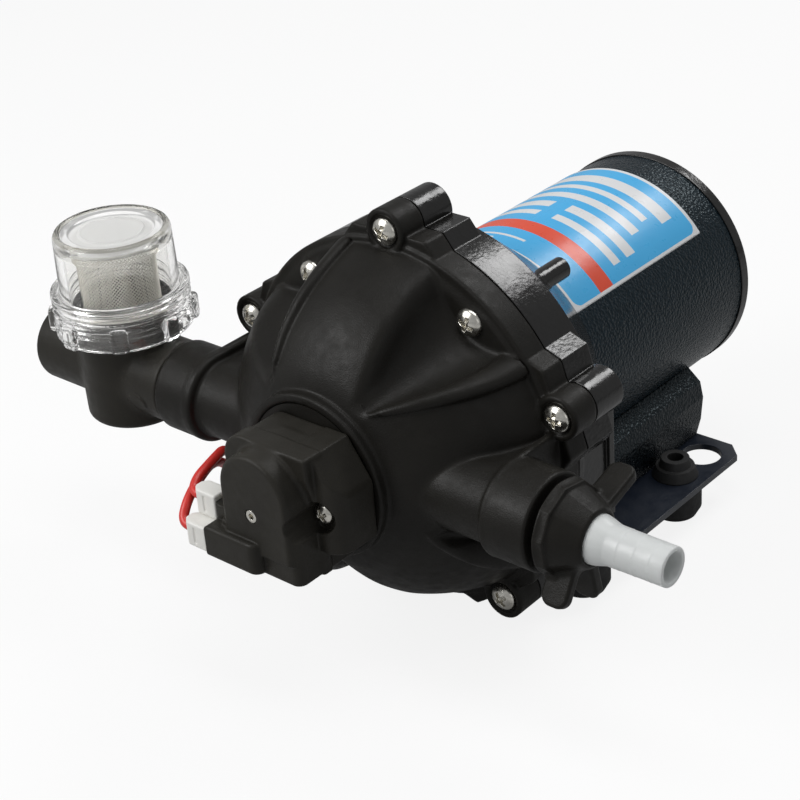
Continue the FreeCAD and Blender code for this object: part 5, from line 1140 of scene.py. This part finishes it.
# The leads' control points from the ear screws' seat and the shaft, in metres.
UPPER_LEAD = [
    (-0.0275, -0.0577, -0.0056), (-0.0305, -0.0577, -0.0056), (-0.0318, -0.0542, -0.0032),
    (-0.0326, -0.0492, -0.0022), (-0.035, -0.043, -0.0026), (-0.039, -0.0365, -0.0048),
    (-0.0445, -0.0285, -0.0125), (-0.0515, -0.016, -0.0195), (-0.06, -0.001, -0.0215),
    (-0.064, 0.014, -0.021), (-0.064, 0.028, -0.02), (-0.05798, 0.036, -0.01935),
    (-0.05234, 0.036, -0.0173),
]
LOWER_LEAD = [
    (-0.0275, -0.0629, -0.0136), (-0.0308, -0.0629, -0.0136), (-0.0322, -0.0594, -0.0096),
    (-0.0332, -0.0546, -0.0066), (-0.0352, -0.049, -0.0056), (-0.0378, -0.0435, -0.0062),
    (-0.0413, -0.0368, -0.0094), (-0.047, -0.028, -0.018), (-0.054, -0.0145, -0.025),
    (-0.0605, 0.0005, -0.0265), (-0.0635, 0.0145, -0.0256), (-0.063, 0.028, -0.0244),
    (-0.05685, 0.036, -0.02245), (-0.05121, 0.036, -0.0204),
]
LEAD_RADIUS = 1.5 * MM


def make_lead(name, route, node):
    """A round lead on a smooth curve, held at its connector and in the grommet."""
    curve = bpy.data.curves.new(name, "CURVE")
    curve.dimensions = "3D"
    curve.bevel_depth = LEAD_RADIUS
    curve.bevel_resolution = 5
    curve.resolution_u = 10
    curve.use_fill_caps = True
    line = curve.splines.new("NURBS")
    line.points.add(len(route) - 1)
    for point, (x, y, z) in zip(line.points, route):
        point.co = (x, y + SEAT_Y, z + AXIS_Z, 1)
    line.order_u = 3
    line.use_endpoint_u = True
    lead = bpy.data.objects.new(name, curve)
    bpy.context.scene.collection.objects.link(lead)
    curve.materials.append(materials[slot_of[node]])
    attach(lead, "pump")
    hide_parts(node)


SLEEVE_TIP = -27.5
SLEEVE_THICK = 6.2


def sleeve_field(front, middle, slot_y):
    """A flat terminal sleeve with a bevelled far end and a slot for its blade."""

    def field(x, y, z):
        thick = (front, front + SLEEVE_THICK)
        body = brick(x, y, z, (SLEEVE_TIP, -18.05), thick, (middle - 4, middle + 4), 0.6)
        aside = np.abs(y - front - SLEEVE_THICK / 2)
        bevel = (aside - SLEEVE_THICK / 2 + 2.0 - (x - SLEEVE_TIP)) * 0.707
        body = soft_max(body, bevel, 0.4)
        wide, narrow = (middle - 2.6, middle + 2.6), (middle - 2.5, middle + 2.5)
        step = brick(x, y, z, (-23.0, -22.0), (front - 1, front + 0.3), wide, 0.1)
        slot = brick(x, y, z, (-24, -10), (slot_y - 0.5, slot_y + 0.5), narrow, 0.1)
        return np.maximum(body, -join(step, slot))

    return field


def circle_places(circle, degrees):
    return [(circle * math.cos(math.radians(a)), circle * math.sin(math.radians(a))) for a in degrees]


# Name, field, low and high corner, grid step, body and node of each sculpted piece.
SCULPTED = [
    ("lobed_head", head_field, (-73, -40, -70), (79, 11, 70), 0.64, "pump", "pump_head"),
    ("switch_housing", switch_field, (-25, -68, -21), (25, -37, 21), 0.42, "pump", "switch_cap"),
    ("strainer_cup", strainer_field, (-130, -39, -18), (-61, -0.5, 23), 0.5, "pump", "strainer_body"),
    ("winged_nut", nut_field, (72, -46, -27), (87, 8, 27), 0.32, "nut", "wing_nut"),
    ("clear_ring", lock_ring_field, (-121.5, -44.5, 13.5), (-72, 5.5, 29.5), 0.32, "ring", "lock_ring"),
]
# Node, front, middle height and blade's place of each connector.
CONNECTORS = [
    ("lower_connector", -66.0, -13.6, -60.4),
    ("upper_connector", -60.8, -5.6, -57.2),
]


def sculpt(name, field, low, high, step, body, node):
    points, faces = skin(field, low, high, step)
    new_piece(name, from_seat(points), faces, body, node)


def make_sculpted():
    for row in SCULPTED:
        sculpt(*row)
    for node, front, middle, slot_y in CONNECTORS:
        low = (SLEEVE_TIP - 0.8, front - 0.8, middle - 4.8)
        high = (-17.3, front + 7.0, middle + 4.8)
        sculpt(node + "_sleeve", sleeve_field(front, middle, slot_y), low, high, 0.3, "pump", node)


def make_screws():
    ears = circle_places(EAR_CIRCLE, EARS)
    valleys = circle_places(VALLEY_CIRCLE, VALLEYS)
    lugs = [(-SWITCH_LUG, 0), (SWITCH_LUG, 0)]
    screw_set("ear_pan_screws", "ear_screws", ears, EAR_SCREW, 0.0)
    screw_set("valley_pan_screws", "valley_screws", valleys, VALLEY_SCREW, VALLEY_SEAT)
    screw_set("switch_pan_screws", "switch_screws", lugs, SWITCH_SCREW, SWITCH_LUG_SEAT)


bpy.context.scene.view_settings.view_transform = "Standard"
make_camera()
make_lights()
make_floor()
make_world()
materials, slot_of = dress_nodes()
make_sculpted()
make_screws()
make_bowl()
make_gauze()
make_gauze_ends()
make_coil()
make_barb()
make_lead("upper_lead", UPPER_LEAD, "red_lead_upper")
make_lead("lower_lead", LOWER_LEAD, "red_lead_lower")
